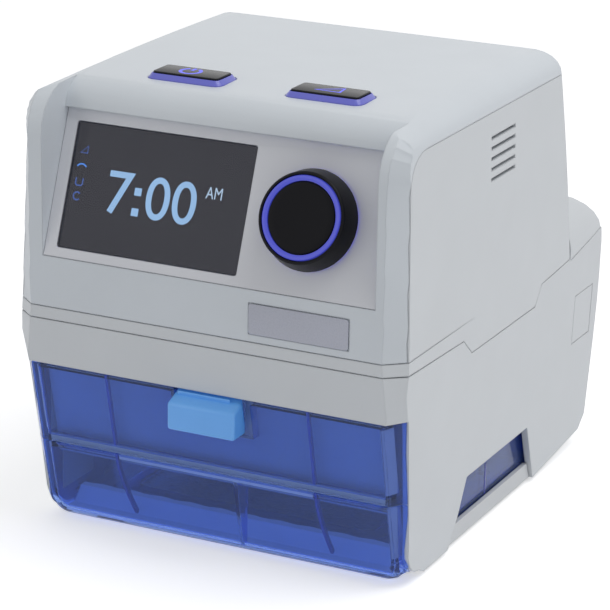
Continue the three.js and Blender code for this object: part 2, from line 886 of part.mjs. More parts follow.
function mainHousing() {
  const side = cut(common(shell, aboveSeam(seamGap / 2)), coverShare(-splitGap / 2));
  const groove = sideGroove();
  const slots = [];
  for (let i = 0; i < slotCount; i += 1) {
    const middle = slotTopHeight - i * slotPitch;
    slots.push(box(
      seamHalfWidth - overrun / 2, seamHalfWidth + overrun,
      slotFrontY, slotRearY, middle - slotHeight / 2, middle + slotHeight / 2,
    ));
  }
  const jackHole = box(
    jackX - jackHalf - gap, jackX + jackHalf + gap, unitRearReach - overrun / 2, unitRearReach + overrun,
    jackHeight - jackHalf - gap, jackHeight + jackHalf + gap,
  );
  const open = cut(side, groove, mirrored(groove), jackHole, filterOpening(0), cardOpening(0), ...slots);
  const bosses = screwPlaces().map(([x, y]) => {
    const low = seamHeightAt(y) + wall + gap;
    const reach = Math.sign(x) * (halfWidthAt(low + bossHeight) - wall / 2);
    const rib = box(
      Math.min(x, reach), Math.max(x, reach), y - wall / 2, y + wall / 2, bandHeight + gap, low + bossHeight,
    );
    return cut(
      join(rodZ(x, y, bossRadius, low, low + bossHeight), rib),
      rodZ(x, y, screwRadius + gap, low - gap, low + screwLength),
    );
  });
  return join(open, ...bosses);
}

function chassisTray() {
  const sideGap = wall + gap;
  const bandTop = bandHeight - bandGap / 2;
  const rim = across([
    ...seamLine(seamGap / 2),
    [unitRearReach + overrun, bandTop],
    [frontY - overrun, bandTop],
  ]);
  const block = common(unitForm(sideGap), rim);
  const hollow = common(unitForm(sideGap + wall), aboveSeam(seamGap / 2 + wall));
  const posts = [];
  for (let i = 0; i < blowerPostCount; i += 1) {
    const angle = (2 * Math.PI * (i + 3 / 4)) / blowerPostCount;
    const x = blowerX + blowerPostRing * Math.cos(angle);
    const y = blowerY + blowerPostRing * Math.sin(angle);
    posts.push(rodZ(x, y, blowerPostRadius, seamHeightAt(y) + wall / 2, voluteLow - gap));
  }
  for (const y of [boardFrontY + blowerPostRadius, boardRearY - blowerPostRadius]) {
    for (const x of [boardLeft + blowerPostRadius, boardRight - blowerPostRadius]) {
      posts.push(rodZ(x, y, blowerPostRadius, seamHeightAt(y) + wall / 2, boardHeight - gap));
    }
  }
  const tray = join(cut(block, hollow), ...posts);
  const holes = screwPlaces().flatMap(([x, y]) => {
    const low = seamHeightAt(y);
    return [
      rodZ(x, y, screwRadius + gap, low - wall, bandTop + overrun),
      rodZ(x, y, screwHeadRadius + gap, low - wall * 2, low + screwHead + gap),
    ];
  });
  const duct = box(
    ductRightX - ductHalf - gap, ductRightX + ductHalf + gap,
    unitOutletFrontY - gap, unitOutletRearY + gap, keelHeight, neckHigh,
  );
  const dock = box(
    -dockHalf - bandGap, dockHalf + bandGap, dockFrontY - bandGap, dockFrontY + dockDepth + bandGap,
    keelHeight, seamRearTop + dockStand + wall * 2,
  );
  return cut(tray, duct, dock, ...holes);
}

const ductRightX = portRightX;
const unitOutletFrontY = blowerY + outletReach + gap;
const unitOutletRearY = unitOutletFrontY + airDuctDepth;

// Front panel plate, with its window and the seat of the lens.
function frontBezel() {
  const low = panelFootHeight + gap;
  const high = browHeight - gap;
  const plate = prismX([
    [panelY(low, 0), low],
    [panelY(low, panelThickness), low],
    [panelY(high, panelThickness), high],
    [panelY(high, 0), high],
  ], panelLeft + gap, panelRight - gap);
  const lensPocket = prismZ(
    roundedRectangle(lensLeft - gap, lensRight + gap, lensLow - gap, lensHigh + gap, lensCorner, 2),
    -lensThickness - gap, overrun,
  );
  const view = box(
    lensLeft + lensLedge, lensRight - lensLedge, lensLow + lensLedge, lensHigh - lensLedge, -overrun, overrun,
  );
  const shaftHole = rodZ(knobX, knobUp, encoderBushRadius + gap, -overrun, overrun);
  return cut(plate, inMachine(lensPocket), inMachine(view), inMachine(shaftHole));
}

function displayLens() {
  return prismZ(roundedRectangle(lensLeft, lensRight, lensLow, lensHigh, lensCorner, 2), -lensThickness, 0);
}

const lcdTop = -panelThickness - gap;

function lcdModule() {
  const inset = lensLedge - lcdInset;
  return box(
    lensLeft + inset, lensRight - inset, lensLow + inset + lcdInset * 2, lensHigh - inset - lcdInset * 2,
    lcdTop - lcdThickness, lcdTop,
  );
}

const displayBoardTop = lcdTop - lcdThickness - gap;

function displayBoard() {
  const board = box(
    -displayBoardHalf, displayBoardHalf, displayBoardLow, displayBoardHigh,
    displayBoardTop - boardThickness, displayBoardTop,
  );
  const plug = box(
    -displayBoardHalf + lcdInset * 4, -displayBoardHalf / 2, displayBoardHigh / 3, displayBoardHigh / 2,
    displayBoardTop - boardThickness * 4, displayBoardTop - boardThickness / 2,
  );
  return join(board, plug);
}

function encoderBody() {
  const low = displayBoardTop + gap;
  const high = lcdTop - gap;
  const block = box(
    knobX - encoderBodyHalf, knobX + encoderBodyHalf,
    knobUp - encoderBodyHalf, knobUp + encoderBodyHalf, low, high,
  );
  const bush = rodZ(knobX, knobUp, encoderBushRadius, high - gap, 0);
  const bore = rodZ(knobX, knobUp, encoderShaftRadius + gap, low + gap + encoderTravel, overrun);
  return cut(join(block, bush), bore);
}

const knobFaceZ = knobStand;
const knobCoreTop = knobFaceZ - knobWall * 2;

function encoderShaft() {
  const low = displayBoardTop + gap * 3 + encoderTravel * 2;
  return rodZ(knobX, knobUp, encoderShaftRadius, low, knobCoreTop);
}

// Knob skirt: a tapered cup open to the panel, with a socket for the shaft and a seat for ring and cap.
function knobSkirt() {
  const seat = knobFaceZ - knobWall;
  const profile = [
    [0, seat - knobWall],
    [encoderShaftRadius + gap + knobWall, seat - knobWall],
    [encoderShaftRadius + gap + knobWall, knobRunning],
    [knobRimRadius - knobWall * 2, knobRunning + knobWall],
    [knobBaseRadius - knobWall, knobRunning],
    [knobBaseRadius, knobRunning],
    [knobRimRadius, knobFaceZ - knobRimRound],
    [knobRimRadius - knobRimRound / 3, knobFaceZ - knobRimRound / 3],
    [knobRimRadius - knobRimRound, knobFaceZ],
    [knobRingOuter + gap, knobFaceZ],
    [knobRingOuter + gap, seat],
    [0, seat],
  ];
  const cup = turned(profile);
  const hollow = turned([
    [0, seat - knobWall * 2 + gap],
    [encoderShaftRadius + gap, seat - knobWall * 2 + gap],
    [encoderShaftRadius + gap, -overrun],
    [0, -overrun],
  ]);
  return cut(cup, hollow);
}

function knobLightRing() {
  const seat = knobFaceZ - knobWall + gap;
  const profile = [
    [knobRingInner, seat],
    [knobRingOuter, seat],
    [knobRingOuter, knobFaceZ - knobFaceStep / 2],
    [knobRingInner, knobFaceZ - knobFaceStep],
    [knobRingInner, seat],
  ];
  return turned(profile);
}

function knobCap() {
  const seat = knobFaceZ - knobWall + gap;
  return turned([
    [0, seat],
    [knobRingInner - gap, seat],
    [knobRingInner - gap, knobFaceZ - knobFaceStep],
    [knobRingInner - gap - knobFaceStep, knobFaceZ - knobFaceStep / 2],
    [0, knobFaceZ - knobFaceStep / 2],
  ]);
}

// Highest place of the button flange, clear of the crowned cover above it.
const buttonUnder = crownAt(buttonY - buttonDepth / 2 - buttonFlange) - wall - gap;
const buttonStemEnd = buttonUnder - buttonFlange - buttonStem;

// Button body: a clear skirt with sloping sides, a flange under the cover and a stem for the switch.
function buttonLens(centreX) {
  const under = buttonUnder;
  const plan = (grow, z) => buttonPlan(centreX, grow).map(([x, y]) => [x, y, z]);
  const body = loft([
    plan(0, under - buttonFlange / 2),
    plan(0, buttonDeck),
    plan(-buttonSlope, buttonDeck + buttonStand - buttonCapThickness / 2),
  ]);
  const flange = prismZ(buttonPlan(centreX, buttonFlange), under - buttonFlange, under);
  const stem = rodZ(centreX, buttonY, buttonStemRadius, under - buttonFlange - buttonStem, under);
  const seat = prismZ(
    buttonPlan(centreX, -buttonSlope - buttonCapInset / 4),
    buttonDeck + buttonStand - buttonCapThickness - gap, buttonDeck + overrun,
  );
  return cut(join(body, flange, stem), seat);
}

function buttonCap(centreX) {
  const low = buttonDeck + buttonStand - buttonCapThickness;
  return prismZ(
    buttonPlan(centreX, -buttonSlope - buttonCapInset / 4 - gap), low, low + buttonCapThickness + gap,
  );
}

// One board under the top cover with both switches, hung from the cover by posts.
function buttonBoard() {
  const switchTop = buttonStemEnd - buttonTravel - gap;
  const top = switchTop - switchHeight;
  const left = powerX - buttonLength / 2 - switchHalf * 2;
  const right = rampX + buttonLength / 2 + switchHalf * 2;
  const board = box(
    left, right, buttonY - buttonBoardDepth / 2, buttonY + buttonBoardDepth / 2, top - boardThickness, top,
  );
  const switches = [powerX, rampX].map((x) => box(
    x - switchHalf, x + switchHalf, buttonY - switchHalf, buttonY + switchHalf, top - gap, switchTop,
  ));
  const postY = buttonY + buttonBoardDepth / 2 - switchHalf;
  const posts = [left + switchHalf, buttonMiddleX, right - switchHalf].map((x) => rodZ(
    x, postY, switchHalf / 2, top - gap, crownAt(postY) - wall - gap,
  ));
  return join(board, ...switches, ...posts);
}

function namePlate() {
  const plan = roundedRectangle(plateLeft, plateRight, plateLow, plateHigh, plateCorner, 3);
  return prismY(plan, frontY - plateThickness + platePocket - gap, frontY + platePocket - gap);
}

// The volute between two heights: a round chamber and a straight, lower outlet along its right side.
function voluteBlock(shrink, fromZ, toZ, neckTop, openEnd) {
  const right = blowerX + voluteRadius - shrink;
  const left = blowerX + voluteRadius - outletWidth + shrink;
  const chamber = rodZ(blowerX, blowerY, voluteRadius - shrink, fromZ, toZ, roundSegments);
  const neck = box(left, right, blowerY, blowerY + outletReach + openEnd, fromZ, neckTop);
  return join(chamber, neck);
}

function blowerLowerHousing() {
  const over = voluteSplit + gap;
  const inside = voluteBlock(voluteWall, voluteLow + voluteWall, over, over, gap);
  const motorHole = rodZ(blowerX, blowerY, motorRadius + gap, voluteLow - gap, voluteSplit, roundSegments);
  return cut(voluteBlock(0, voluteLow, voluteSplit, voluteSplit, 0), inside, motorHole);
}

function blowerUpperHousing() {
  const low = voluteSplit + gap;
  const inside = voluteBlock(voluteWall, low - gap, voluteHigh - voluteWall, neckHigh - voluteWall, gap);
  const eye = rodZ(blowerX, blowerY, inletEye, low, voluteHigh + gap, roundSegments);
  return cut(voluteBlock(0, low, voluteHigh, neckHigh, 0), inside, eye);
}

function motor() {
  const low = seamHeightAt(blowerY) + wall + gap;
  const can = rodZ(blowerX, blowerY, motorRadius, low, motorTop, roundSegments);
  const bore = rodZ(blowerX, blowerY, motorShaftRadius + gap, low + wall * 2, motorTop + gap);
  return cut(can, bore);
}

function impeller() {
  const disc = rodZ(blowerX, blowerY, impellerRadius, impellerLow, impellerLow + impellerDisc, roundSegments);
  const hub = rodZ(blowerX, blowerY, impellerHub, impellerLow, impellerHigh, smallSegments);
  const shaft = rodZ(
    blowerX, blowerY, motorShaftRadius,
    seamHeightAt(blowerY) + wall * 3 + gap * 2, impellerHigh - impellerDisc,
  );
  const blades = [];
  for (let i = 0; i < bladeCount; i += 1) {
    const start = (2 * Math.PI * i) / bladeCount;
    const points = [];
    const steps = 4;
    for (const side of [-1, 1]) {
      for (let k = 0; k <= steps; k += 1) {
        const share = side < 0 ? k / steps : 1 - k / steps;
        const radius = impellerHub - bladeThickness + (impellerRadius - impellerHub) * share;
        const angle = start + THREE.MathUtils.degToRad(bladeTurnDegrees) * share;
        const thick = (side * bladeThickness) / 2 / radius;
        points.push([
          blowerX + radius * Math.cos(angle + thick),
          blowerY + radius * Math.sin(angle + thick),
        ]);
      }
    }
    blades.push(prismZ(points, impellerLow + impellerDisc / 2, impellerHigh - impellerDisc * 2));
  }
  return join(disc, hub, shaft, ...blades);
}

function inletMuffler() {
  const low = voluteHigh + gap;
  const left = blowerX - mufflerHalfWidth;
  const right = blowerX + mufflerHalfWidth;
  const body = prismZ(
    roundedRectangle(left, right, mufflerFrontY, mufflerRearY, mufflerWall * 3, 3), low, mufflerHigh,
  );
  const neckLeft = filterX - mufflerNeckHalf;
  const neckRight = filterX + mufflerNeckHalf;
  const neckRearY = rearTopReach - filterThickness - gap;
  const neck = box(neckLeft, neckRight, mufflerRearY - gap, neckRearY, mufflerNeckLow, mufflerHigh);
  const space = box(
    left + mufflerWall, right - mufflerWall, mufflerFrontY + mufflerWall, mufflerRearY - mufflerWall,
    low + mufflerWall, mufflerHigh - mufflerWall,
  );
  const neckSpace = box(
    neckLeft + mufflerWall, neckRight - mufflerWall, mufflerRearY - mufflerWall * 2, neckRearY + gap,
    mufflerNeckLow + mufflerWall, mufflerHigh - mufflerWall,
  );
  const eye = rodZ(blowerX, blowerY, inletEye, low - gap, low + mufflerWall * 2, roundSegments);
  return cut(join(body, neck), space, neckSpace, eye);
}

function airFilter() {
  const frontFace = rearTopReach - filterThickness;
  return common(
    filterOpening(gap * 2),
    cut(unitForm(filterDoorThickness + gap), box(-overrun * 4, overrun * 4, frontY, frontFace, 0, unitTop)),
  );
}

function filterCover() {
  const slots = [];
  for (let i = 0; i < filterSlotCount; i += 1) {
    const middle = (filterLow + filterHigh) / 2 + (i - (filterSlotCount - 1) / 2) * filterSlotPitch;
    slots.push(box(
      filterX - filterWidth / 2 + lensLedge * 2, filterX + filterWidth / 2 - lensLedge * 2,
      0, unitRearReach + overrun, middle - filterSlotHeight / 2, middle + filterSlotHeight / 2,
    ));
  }
  return cut(common(cut(unitForm(0), unitForm(filterDoorThickness)), filterOpening(gap)), ...slots);
}

function mainBoard() {
  const top = boardHeight + boardThickness;
  const board = box(boardLeft, boardRight, boardFrontY, boardRearY, boardHeight, top);
  const socketRight = boardLeft + cardLength;
  const socket = box(
    boardLeft + cardThickness, socketRight + cardThickness, cardFrontY - cardThickness,
    cardFrontY + cardWidth + cardThickness, top - gap, cardHeight + cardThickness * 2,
  );
  const slot = box(
    boardLeft - overrun, cardRight + gap, cardFrontY - gap, cardFrontY + cardWidth + gap,
    cardHeight - gap, cardHeight + cardThickness + gap,
  );
  const depth = boardRearY - boardFrontY;
  const blocks = boardPartShares.map(([across, along, widthShare, depthShare, heightShare]) => box(
    boardLeft + boardWidth * (across - widthShare / 2),
    boardLeft + boardWidth * (across + widthShare / 2),
    boardFrontY + depth * (along - depthShare / 2), boardFrontY + depth * (along + depthShare / 2),
    top - gap, top + boardPartHeight * heightShare,
  ));
  return join(cut(join(board, socket), slot), ...blocks);
}

const cardLeft = boardLeft - cardThickness;
const cardRight = cardLeft + cardLength;

function memoryCard() {
  return box(cardLeft, cardRight, cardFrontY, cardFrontY + cardWidth, cardHeight, cardHeight + cardThickness);
}

function cardDoor() {
  return common(cut(unitForm(0), unitForm(cardDoorThickness)), cardOpening(gap));
}

function powerJack() {
  const face = unitRearReach - wall;
  const body = box(
    jackX - jackHalf, jackX + jackHalf, face - jackLength, face, jackHeight - jackHalf, jackHeight + jackHalf,
  );
  const pocket = rodY(jackX, jackHeight, jackBore, face - jackDepth, face + gap);
  const pin = rodY(jackX, jackHeight, jackPin, face - jackDepth - gap, face - wall, smallSegments);
  const leg = box(
    jackX - jackHalf, jackX + jackHalf, face - jackLength, face - jackLength / 2,
    seamHeightAt(face) + wall + gap, jackHeight - jackHalf + gap,
  );
  return join(cut(body, pocket), pin, leg);
}

function chassisScrew(x, y) {
  const low = seamHeightAt(y) + gap;
  return join(
    rodZ(x, y, screwHeadRadius, low, low + screwHead - gap),
    rodZ(x, y, screwRadius, low + gap, low + screwLength),
  );
}

function blowerOutletDuct() {
  const left = blowerX + voluteRadius - outletWidth;
  const right = blowerX + voluteRadius;
  const front = unitOutletFrontY;
  const rear = unitOutletRearY;
  const bottom = seamHeightAt(rear) + gap;
  const outer = join(
    box(left, right, front, rear, voluteLow, neckHigh),
    box(ductRightX - ductHalf, ductRightX + ductHalf, front, rear, bottom, voluteLow + wall),
  );
  const inner = join(
    box(
      left + ductWall, right - ductWall, front - gap, rear - ductWall,
      voluteLow + ductWall, neckHigh - ductWall,
    ),
    box(
      ductRightX - ductHalf + ductWall, right - ductWall, front + ductWall, rear - ductWall,
      bottom - gap, voluteLow + wall * 2,
    ),
  );
  return cut(outer, inner);
}

// Side view of the base without the tank's opening, as [y, z] points.
function baseSideView(inset) {
  const rear = new THREE.CatmullRomCurve3([
    new THREE.Vector3(baseRearLowReach - inset, baseRearLowHeight, 0),
    new THREE.Vector3(baseRearReach - inset, baseRearWideHeight, 0),
    new THREE.Vector3(baseRearTopReach - inset, towerSeamRear - gap / 2, 0),
  ]);
  const rise = baseBottom + underRearRise;
  const deck = seamLine(-seamGap / 2).filter(([y]) => y > stripEdgeAt(seamHeight) && y < towerFrontY);
  return [
    [sideFootY + inset, sideFootHeight],
    [sideFootY + inset + sideFootHeight, baseBottom + inset],
    [underRearY, baseBottom + inset],
    [underRearEndY, rise + inset],
    ...rear.getPoints(arcSteps).map((point) => [point.x, point.y]),
    [towerFrontY + inset, towerSeamFront - gap / 2],
    [towerFrontY + inset, seamRearTop - seamGap / 2],
    ...deck.reverse().map(([y, z]) => [y, z - inset]),
    [frontY + inset, seamHeight - seamGap / 2 - inset],
    [frontY + inset, seamHeight - seamGap],
    [frontY + bandLowSet + inset, bandLow],
    [stripEdgeAt(bandLow) + inset, bandLow],
    [sideStraightY + inset, sideStraightHeight],
    ...arc(sideFootY, sideFootHeight + sideRound, sideRound - inset, sideRound - inset, 180, 262),
  ];
}

function draftedWidth(inset, lowZ, highZ) {
  const heights = [lowZ, ...[seamHeight].filter((height) => height < highZ), highZ];
  const right = heights.map((height) => [halfWidthAt(height) - inset, height]);
  const left = right.map(([x, z]) => [-x, z]).reverse();
  return prismY([...right, ...left], frontY - overrun, baseRearReach + overrun);
}

function windowView() {
  return [
    [windowFootY, baseBottom - overrun],
    [windowRearFootY, baseBottom - overrun],
    [windowRearFootY, baseBottom],
    [windowRearY, windowTop],
    [windowFrontY, windowTop],
    [windowMidY, windowMidHeight],
    [windowFootY, baseBottom],
  ];
}

function tabOpening(grow, side) {
  const inner = side * (seamHalfWidth - overrun / 3);
  const outer = side * (seamHalfWidth + overrun);
  return box(
    Math.min(inner, outer), Math.max(inner, outer),
    tabFrontY - grow, tabRearY + grow, tabLow - grow, tabHigh + grow,
  );
}

function baseHousing() {
  const block = common(across(baseSideView(0)), draftedWidth(0, 0, towerSeamRear));
  const frontAt = (height) => frontY + (bandLowSet * (seamHeight - height)) / (seamHeight - bandLow);
  const shaped = withStrips(block, [bandLow - stripDepth, seamHeight, towerSeamRear], frontAt, 0);
  const wideBay = draftedWidth(baseWall, 0, towerSeamRear);
  const deck = seamLine(-seamGap / 2 - baseWall).filter(([y]) => y > frontY && y < towerFrontY);
  const bay = common(wideBay, across([
    [frontY + baseWall, baseBottom - overrun],
    [bayRearY, baseBottom - overrun],
    [bayRearY, seamKeelRearTop - seamGap / 2 - baseWall],
    ...deck.filter(([y]) => y < bayRearY).reverse(),
    [stripEdgeAt(seamHeight), seamHeight - seamGap - baseWall],
    [frontY + baseWall * 2, seamHeight - seamGap - baseWall],
    [frontY + baseWall * 2, bandLow + baseWall],
    [frontY + baseWall * 2, bandLow],
    [frontY - overrun, bandLow],
    [frontY - overrun, baseBottom - overrun],
  ]));
  const rearRoom = common(wideBay, across([
    [bayRearY + baseWall, baseBottom - overrun],
    [baseRearLowReach - baseWall, baseBottom - overrun],
    [baseRearLowReach - baseWall, baseRearLowHeight],
    [baseRearReach - baseWall * 1.5, baseRearWideHeight],
    [baseRearTopReach - baseWall, towerSeamRear + overrun],
    [towerFrontY + baseWall, towerSeamRear + overrun],
    [towerFrontY + baseWall, seamRearTop - seamGap - baseWall],
    [bayRearY + baseWall, seamKeelRearTop - seamGap - baseWall],
  ]));
  const wallFoot = box(
    -seamHalfWidth + baseWall * 2, seamHalfWidth - baseWall * 2, bayRearY - gap, bayRearY + baseWall + gap,
    0, undersideAt(bayRearY + baseWall) + floorThickness + gap,
  );
  const windows = across(windowView());
  const coreWidth = box(-guideX, guideX, windowFootY, windowRearFootY, 0, windowTop + overrun / 2);
  const ports = [portLeftX, portRightX].map(
    (x) => rodY(x, portHeight, portRadius + sealWall + gap, bayRearY - gap, bayRearY + baseWall + gap),
  );
  const airHole = box(
    ductRightX - ductHalf + ductWall, ductRightX + ductHalf - ductWall,
    bayRearY + baseWall + gap, unitOutletRearY - ductWall, seamKeelRearTop - overrun / 3, seamRearTop + gap,
  );
  const dockHole = box(
    -dockHalf - gap, dockHalf + gap, dockFrontY - gap, dockFrontY + dockDepth + gap,
    seamKeelRearTop - overrun / 2, seamRearTop + wall,
  );
  const outletHole = rodY(
    portLeftX, portHeight, outletRootRadius + gap, baseRearReach - baseWall * 3, baseRearReach + overrun,
  );
  return cut(
    shaped, bay, rearRoom, wallFoot, cut(windows, coreWidth), airHole, dockHole, outletHole,
    tabOpening(tabGap, 1), tabOpening(tabGap, -1), ...ports,
  );
}

// Rounded form of the tower behind the upper unit, drawn in by an inset.
function towerForm(inset, lowZ) {
  const level = (z, spread) => {
    const half = halfWidthAt(z) - inset - spread;
    const rear = baseRearTopReach - inset - spread;
    const corner = rearCornerRound + spread / 2;
    return [
      [-half, towerFrontY + inset],
      [half, towerFrontY + inset],
      ...arc(half - corner, rear - corner, corner, corner, 0, 90, 3),
      ...arc(-half + corner, rear - corner, corner, corner, 90, 180, 3),
    ].map(([x, y]) => [x, y, z]);
  };
  const rings = [level(lowZ, 0)];
  for (let i = 0; i <= towerSteps; i += 1) {
    const angle = (Math.PI * i) / towerSteps / 2;
    const spread = towerRound * (1 - Math.cos(angle) ** (2 / towerPower));
    const rise = (towerTop - inset - towerRoundLow) * Math.sin(angle) ** (2 / towerPower);
    rings.push(level(towerRoundLow + rise, spread));
  }
  return loft(rings);
}

function towerCap() {
  const low = towerSeamFront - baseWall;
  const aboveCapSeam = across([
    [towerFrontY - overrun, towerSeamFront + gap / 2],
    [towerFrontY, towerSeamFront + gap / 2],
    [baseRearTopReach, towerSeamRear + gap / 2],
    [baseRearTopReach + overrun, towerSeamRear + gap / 2],
    [baseRearTopReach + overrun, towerTop + overrun],
    [towerFrontY - overrun, towerTop + overrun],
  ]);
  return common(cut(towerForm(0, low), towerForm(baseWall, low - gap)), aboveCapSeam);
}

function releaseTab(side) {
  const block = common(across(baseSideView(0)), draftedWidth(0, 0, towerSeamRear));
  const inner = draftedWidth(baseWall, 0, towerSeamRear);
  return common(cut(block, inner), tabOpening(0, side));
}

// Underside of the base at a place from front to back: level, then rising to the rear.
function undersideAt(y) {
  const share = THREE.MathUtils.clamp((y - underRearY) / (underRearEndY - underRearY), 0, 1);
  return baseBottom + underRearRise * share;
}

function baseFloor() {
  const rise = underRearRise;
  const clear = baseWall + gap;
  const plate = across([
    [floorFrontY, baseBottom],
    [underRearY, baseBottom],
    [underRearEndY, baseBottom + rise],
    [baseRearLowReach - clear, baseBottom + rise],
    [baseRearLowReach - clear, baseBottom + rise + floorThickness],
    [underRearEndY, baseBottom + rise + floorThickness],
    [underRearY, baseBottom + floorThickness],
    [floorFrontY, baseBottom + floorThickness],
  ]);
  const sides = draftedWidth(clear, 0, towerSeamRear);
  const windowClear = join(
    box(guideX + guideThickness, seamHalfWidth + overrun, windowFootY, windowRearFootY, 0, windowTop),
    box(-seamHalfWidth - overrun, -guideX - guideThickness, windowFootY, windowRearFootY, 0, windowTop),
  );
  const footTop = baseBottom + floorThickness;
  const rails = [-1, 1].flatMap((side) => [
    box(
      side * railX - railWidth / 2, side * railX + railWidth / 2,
      floorFrontY, bayRearY - baseWall, footTop - gap, tankUnderside - gap,
    ),
    guide(side),
  ]);
  const bosses = [-1, 1].flatMap((side) => [
    heaterBoardFrontY + bossRadius,
    heaterBoardRearY - bossRadius,
  ].map((y) => rodZ(
    side * (heaterBoardHalf - bossRadius), y, bossRadius, undersideAt(y) + gap, heaterBoardHeight - gap,
  )));
  const spigotHoles = footPlaces().map(([x, y]) => rodZ(x, y, footSpigot + gap, 0, footTop + gap));
  const body = join(cut(common(plate, sides), windowClear), ...rails, ...bosses);
  return cut(body, ...spigotHoles);
}

// Side guide of the tank, which stands in the foot of a window.
function guide(side) {
  const share = (guideHeight - baseBottom) / (windowTop - baseBottom);
  const frontShare = (guideHeight - baseBottom) / (windowMidHeight - baseBottom);
  const view = [
    [windowFootY + gap * 2, baseBottom],
    [windowRearFootY - gap * 2, baseBottom],
    [windowRearFootY + (windowRearY - windowRearFootY) * share - gap * 2, guideHeight],
    [windowFootY + (windowMidY - windowFootY) * frontShare + gap * 2, guideHeight],
  ];
  const inner = side * guideX;
  const outer = side * (guideX + guideThickness);
  return prismX(view, Math.min(inner, outer), Math.max(inner, outer));
}

function footPlaces() {
  const places = [];
  for (const y of [footFrontY, footRearY]) for (const x of [-footX, footX]) places.push([x, y]);
  return places;
}

function rubberFoot(x, y) {
  const top = baseBottom - gap;
  return join(
    rodZ(x, y, footRadius, 0, top, roundSegments),
    rodZ(x, y, footSpigot, top - gap, top + footSpigotHeight),
  );
}

function heaterPlate() {
  return prismZ(
    roundedRectangle(-heaterHalf, heaterHalf, heaterFrontY, heaterRearY, heaterFrame * 2, 4),
    heaterTop - heaterThickness, heaterTop,
  );
}

function heaterInsulator() {
  const low = baseBottom + floorThickness + gap;
  const high = heaterTop - gap;
  const outer = prismZ(
    roundedRectangle(
      -heaterHalf - heaterFrame, heaterHalf + heaterFrame,
      heaterFrontY - heaterFrame, heaterRearY + heaterFrame, heaterFrame * 3, 4,
    ), low, high,
  );
  const inner = prismZ(
    roundedRectangle(
      -heaterHalf - gap, heaterHalf + gap, heaterFrontY - gap, heaterRearY + gap, heaterFrame * 2, 4,
    ), low - gap, high + gap,
  );
  return cut(outer, inner);
}

function heaterElement() {
  const high = heaterTop - heaterThickness - gap;
  const inset = heaterFrame;
  return box(
    -heaterHalf + inset, heaterHalf - inset, heaterFrontY + inset, heaterRearY - inset,
    high - elementThickness, high,
  );
}

// Rounded foot of the tank's front, drawn in by an inset about the same middle.
function tankFootArc(inset) {
  const radius = tankFootRound - inset;
  return arc(tankFrontFootY + tankFootRound, tankFrontLow + tankFootRound, radius, radius, 195, 270, 5);
}

// Front view of the tank's wide front, with rounded lower corners.
function tankFrontOutline(inset) {
  const middleZ = tankFrontLow + tankCornerRound;
  const radius = tankCornerRound - inset;
  const middleX = halfWidthAt(middleZ) - gap / 2 - tankCornerRound;
  const right = [
    ...arc(middleX, middleZ, radius, radius, -90, 0),
    [halfWidthAt(bandLow) - gap / 2 - inset, bandLow],
  ];
  return [...right, ...right.map(([x, z]) => [-x, z]).reverse()];
}

// The side walls' share of the side view, grown by the gap to the tank and an inset.
function sideWallView(grow) {
  const low = sideFootHeight - grow;
  return [
    [stripEdgeAt(bandLow) - grow, bandLow + overrun],
    [stripEdgeAt(bandLow) - grow, bandLow],
    [sideStraightY - grow, sideStraightHeight],
    ...arc(sideFootY, sideFootHeight + sideRound, sideRound + grow, sideRound + grow, 180, 270),
    [bayRearY, low],
    [bayRearY, bandLow + overrun],
  ];
}

// Front face of the tank at a height.
function tankFrontYAt(height) {
  const [[footY, footZ]] = tankFootArc(0);
  const share = (height - footZ) / (bandLow - tankTopGap - footZ);
  return footY + (tankFrontTopY - footY) * share;
}

// Whole tank as one block, drawn in by an inset: the wide front and the narrower body behind it.
function tankForm(inset) {
  const low = tankFrontLow + inset;
  const top = bandLow - tankTopGap - inset;
  const frontView = [
    [tankFrontTopY + inset, top],
    ...tankFootArc(inset),
    [sideFootY - inset, low],
    [sideFootY - inset, top],
  ];
  const rounded = prismY(tankFrontOutline(inset), frontY - overrun, bayRearY);
  const open = cut(common(across(frontView), rounded), across(sideWallView(tankGap + inset)));
  const heights = stepsBetween(tankFrontLow - stripDepth, bandLow, 2);
  const front = withStrips(open, heights, (z) => tankFrontYAt(z) + inset, inset);
  const narrow = prismX([
    [tankFrontTopY + inset, top],
    ...tankFootArc(inset),
    [sideFootY - inset, low],
    [sideFootY + tankGap * 2 + inset, tankUnderside + inset],
    [tankRearY - inset, tankUnderside + inset],
    [tankRearY - inset, top],
  ], -tankHalf + inset, tankHalf - inset);
  return join(front, common(narrow, rounded));
}

function belowHeight(z) {
  return box(-seamHalfWidth * 2, seamHalfWidth * 2, frontY * 2, baseRearReach * 2, -overrun, z);
}

const tankWhole = tankForm(0);
const tankSpace = tankForm(tankWall);

function basePlatePlan(shrink) {
  return roundedRectangle(
    -plateHalf + shrink, plateHalf - shrink, plateFrontY + shrink, plateRearY - shrink, plateRim, 4,
  );
}

// Inward lip on the rim of the tub or the lid, between two heights.
function tankRim(lowZ, highZ) {
  const inset = tankWall + tankLip;
  const open = prismZ(roundedRectangle(
    -tankHalf + inset, tankHalf - inset, tankFrontYAt(tankSplit) + inset, tankRearY - inset, tankLip, 3,
  ), lowZ - gap, highZ + gap);
  const band = box(-seamHalfWidth, seamHalfWidth, frontY, tankRearY, lowZ, highZ);
  return cut(common(tankForm(tankWall / 2), band), open);
}

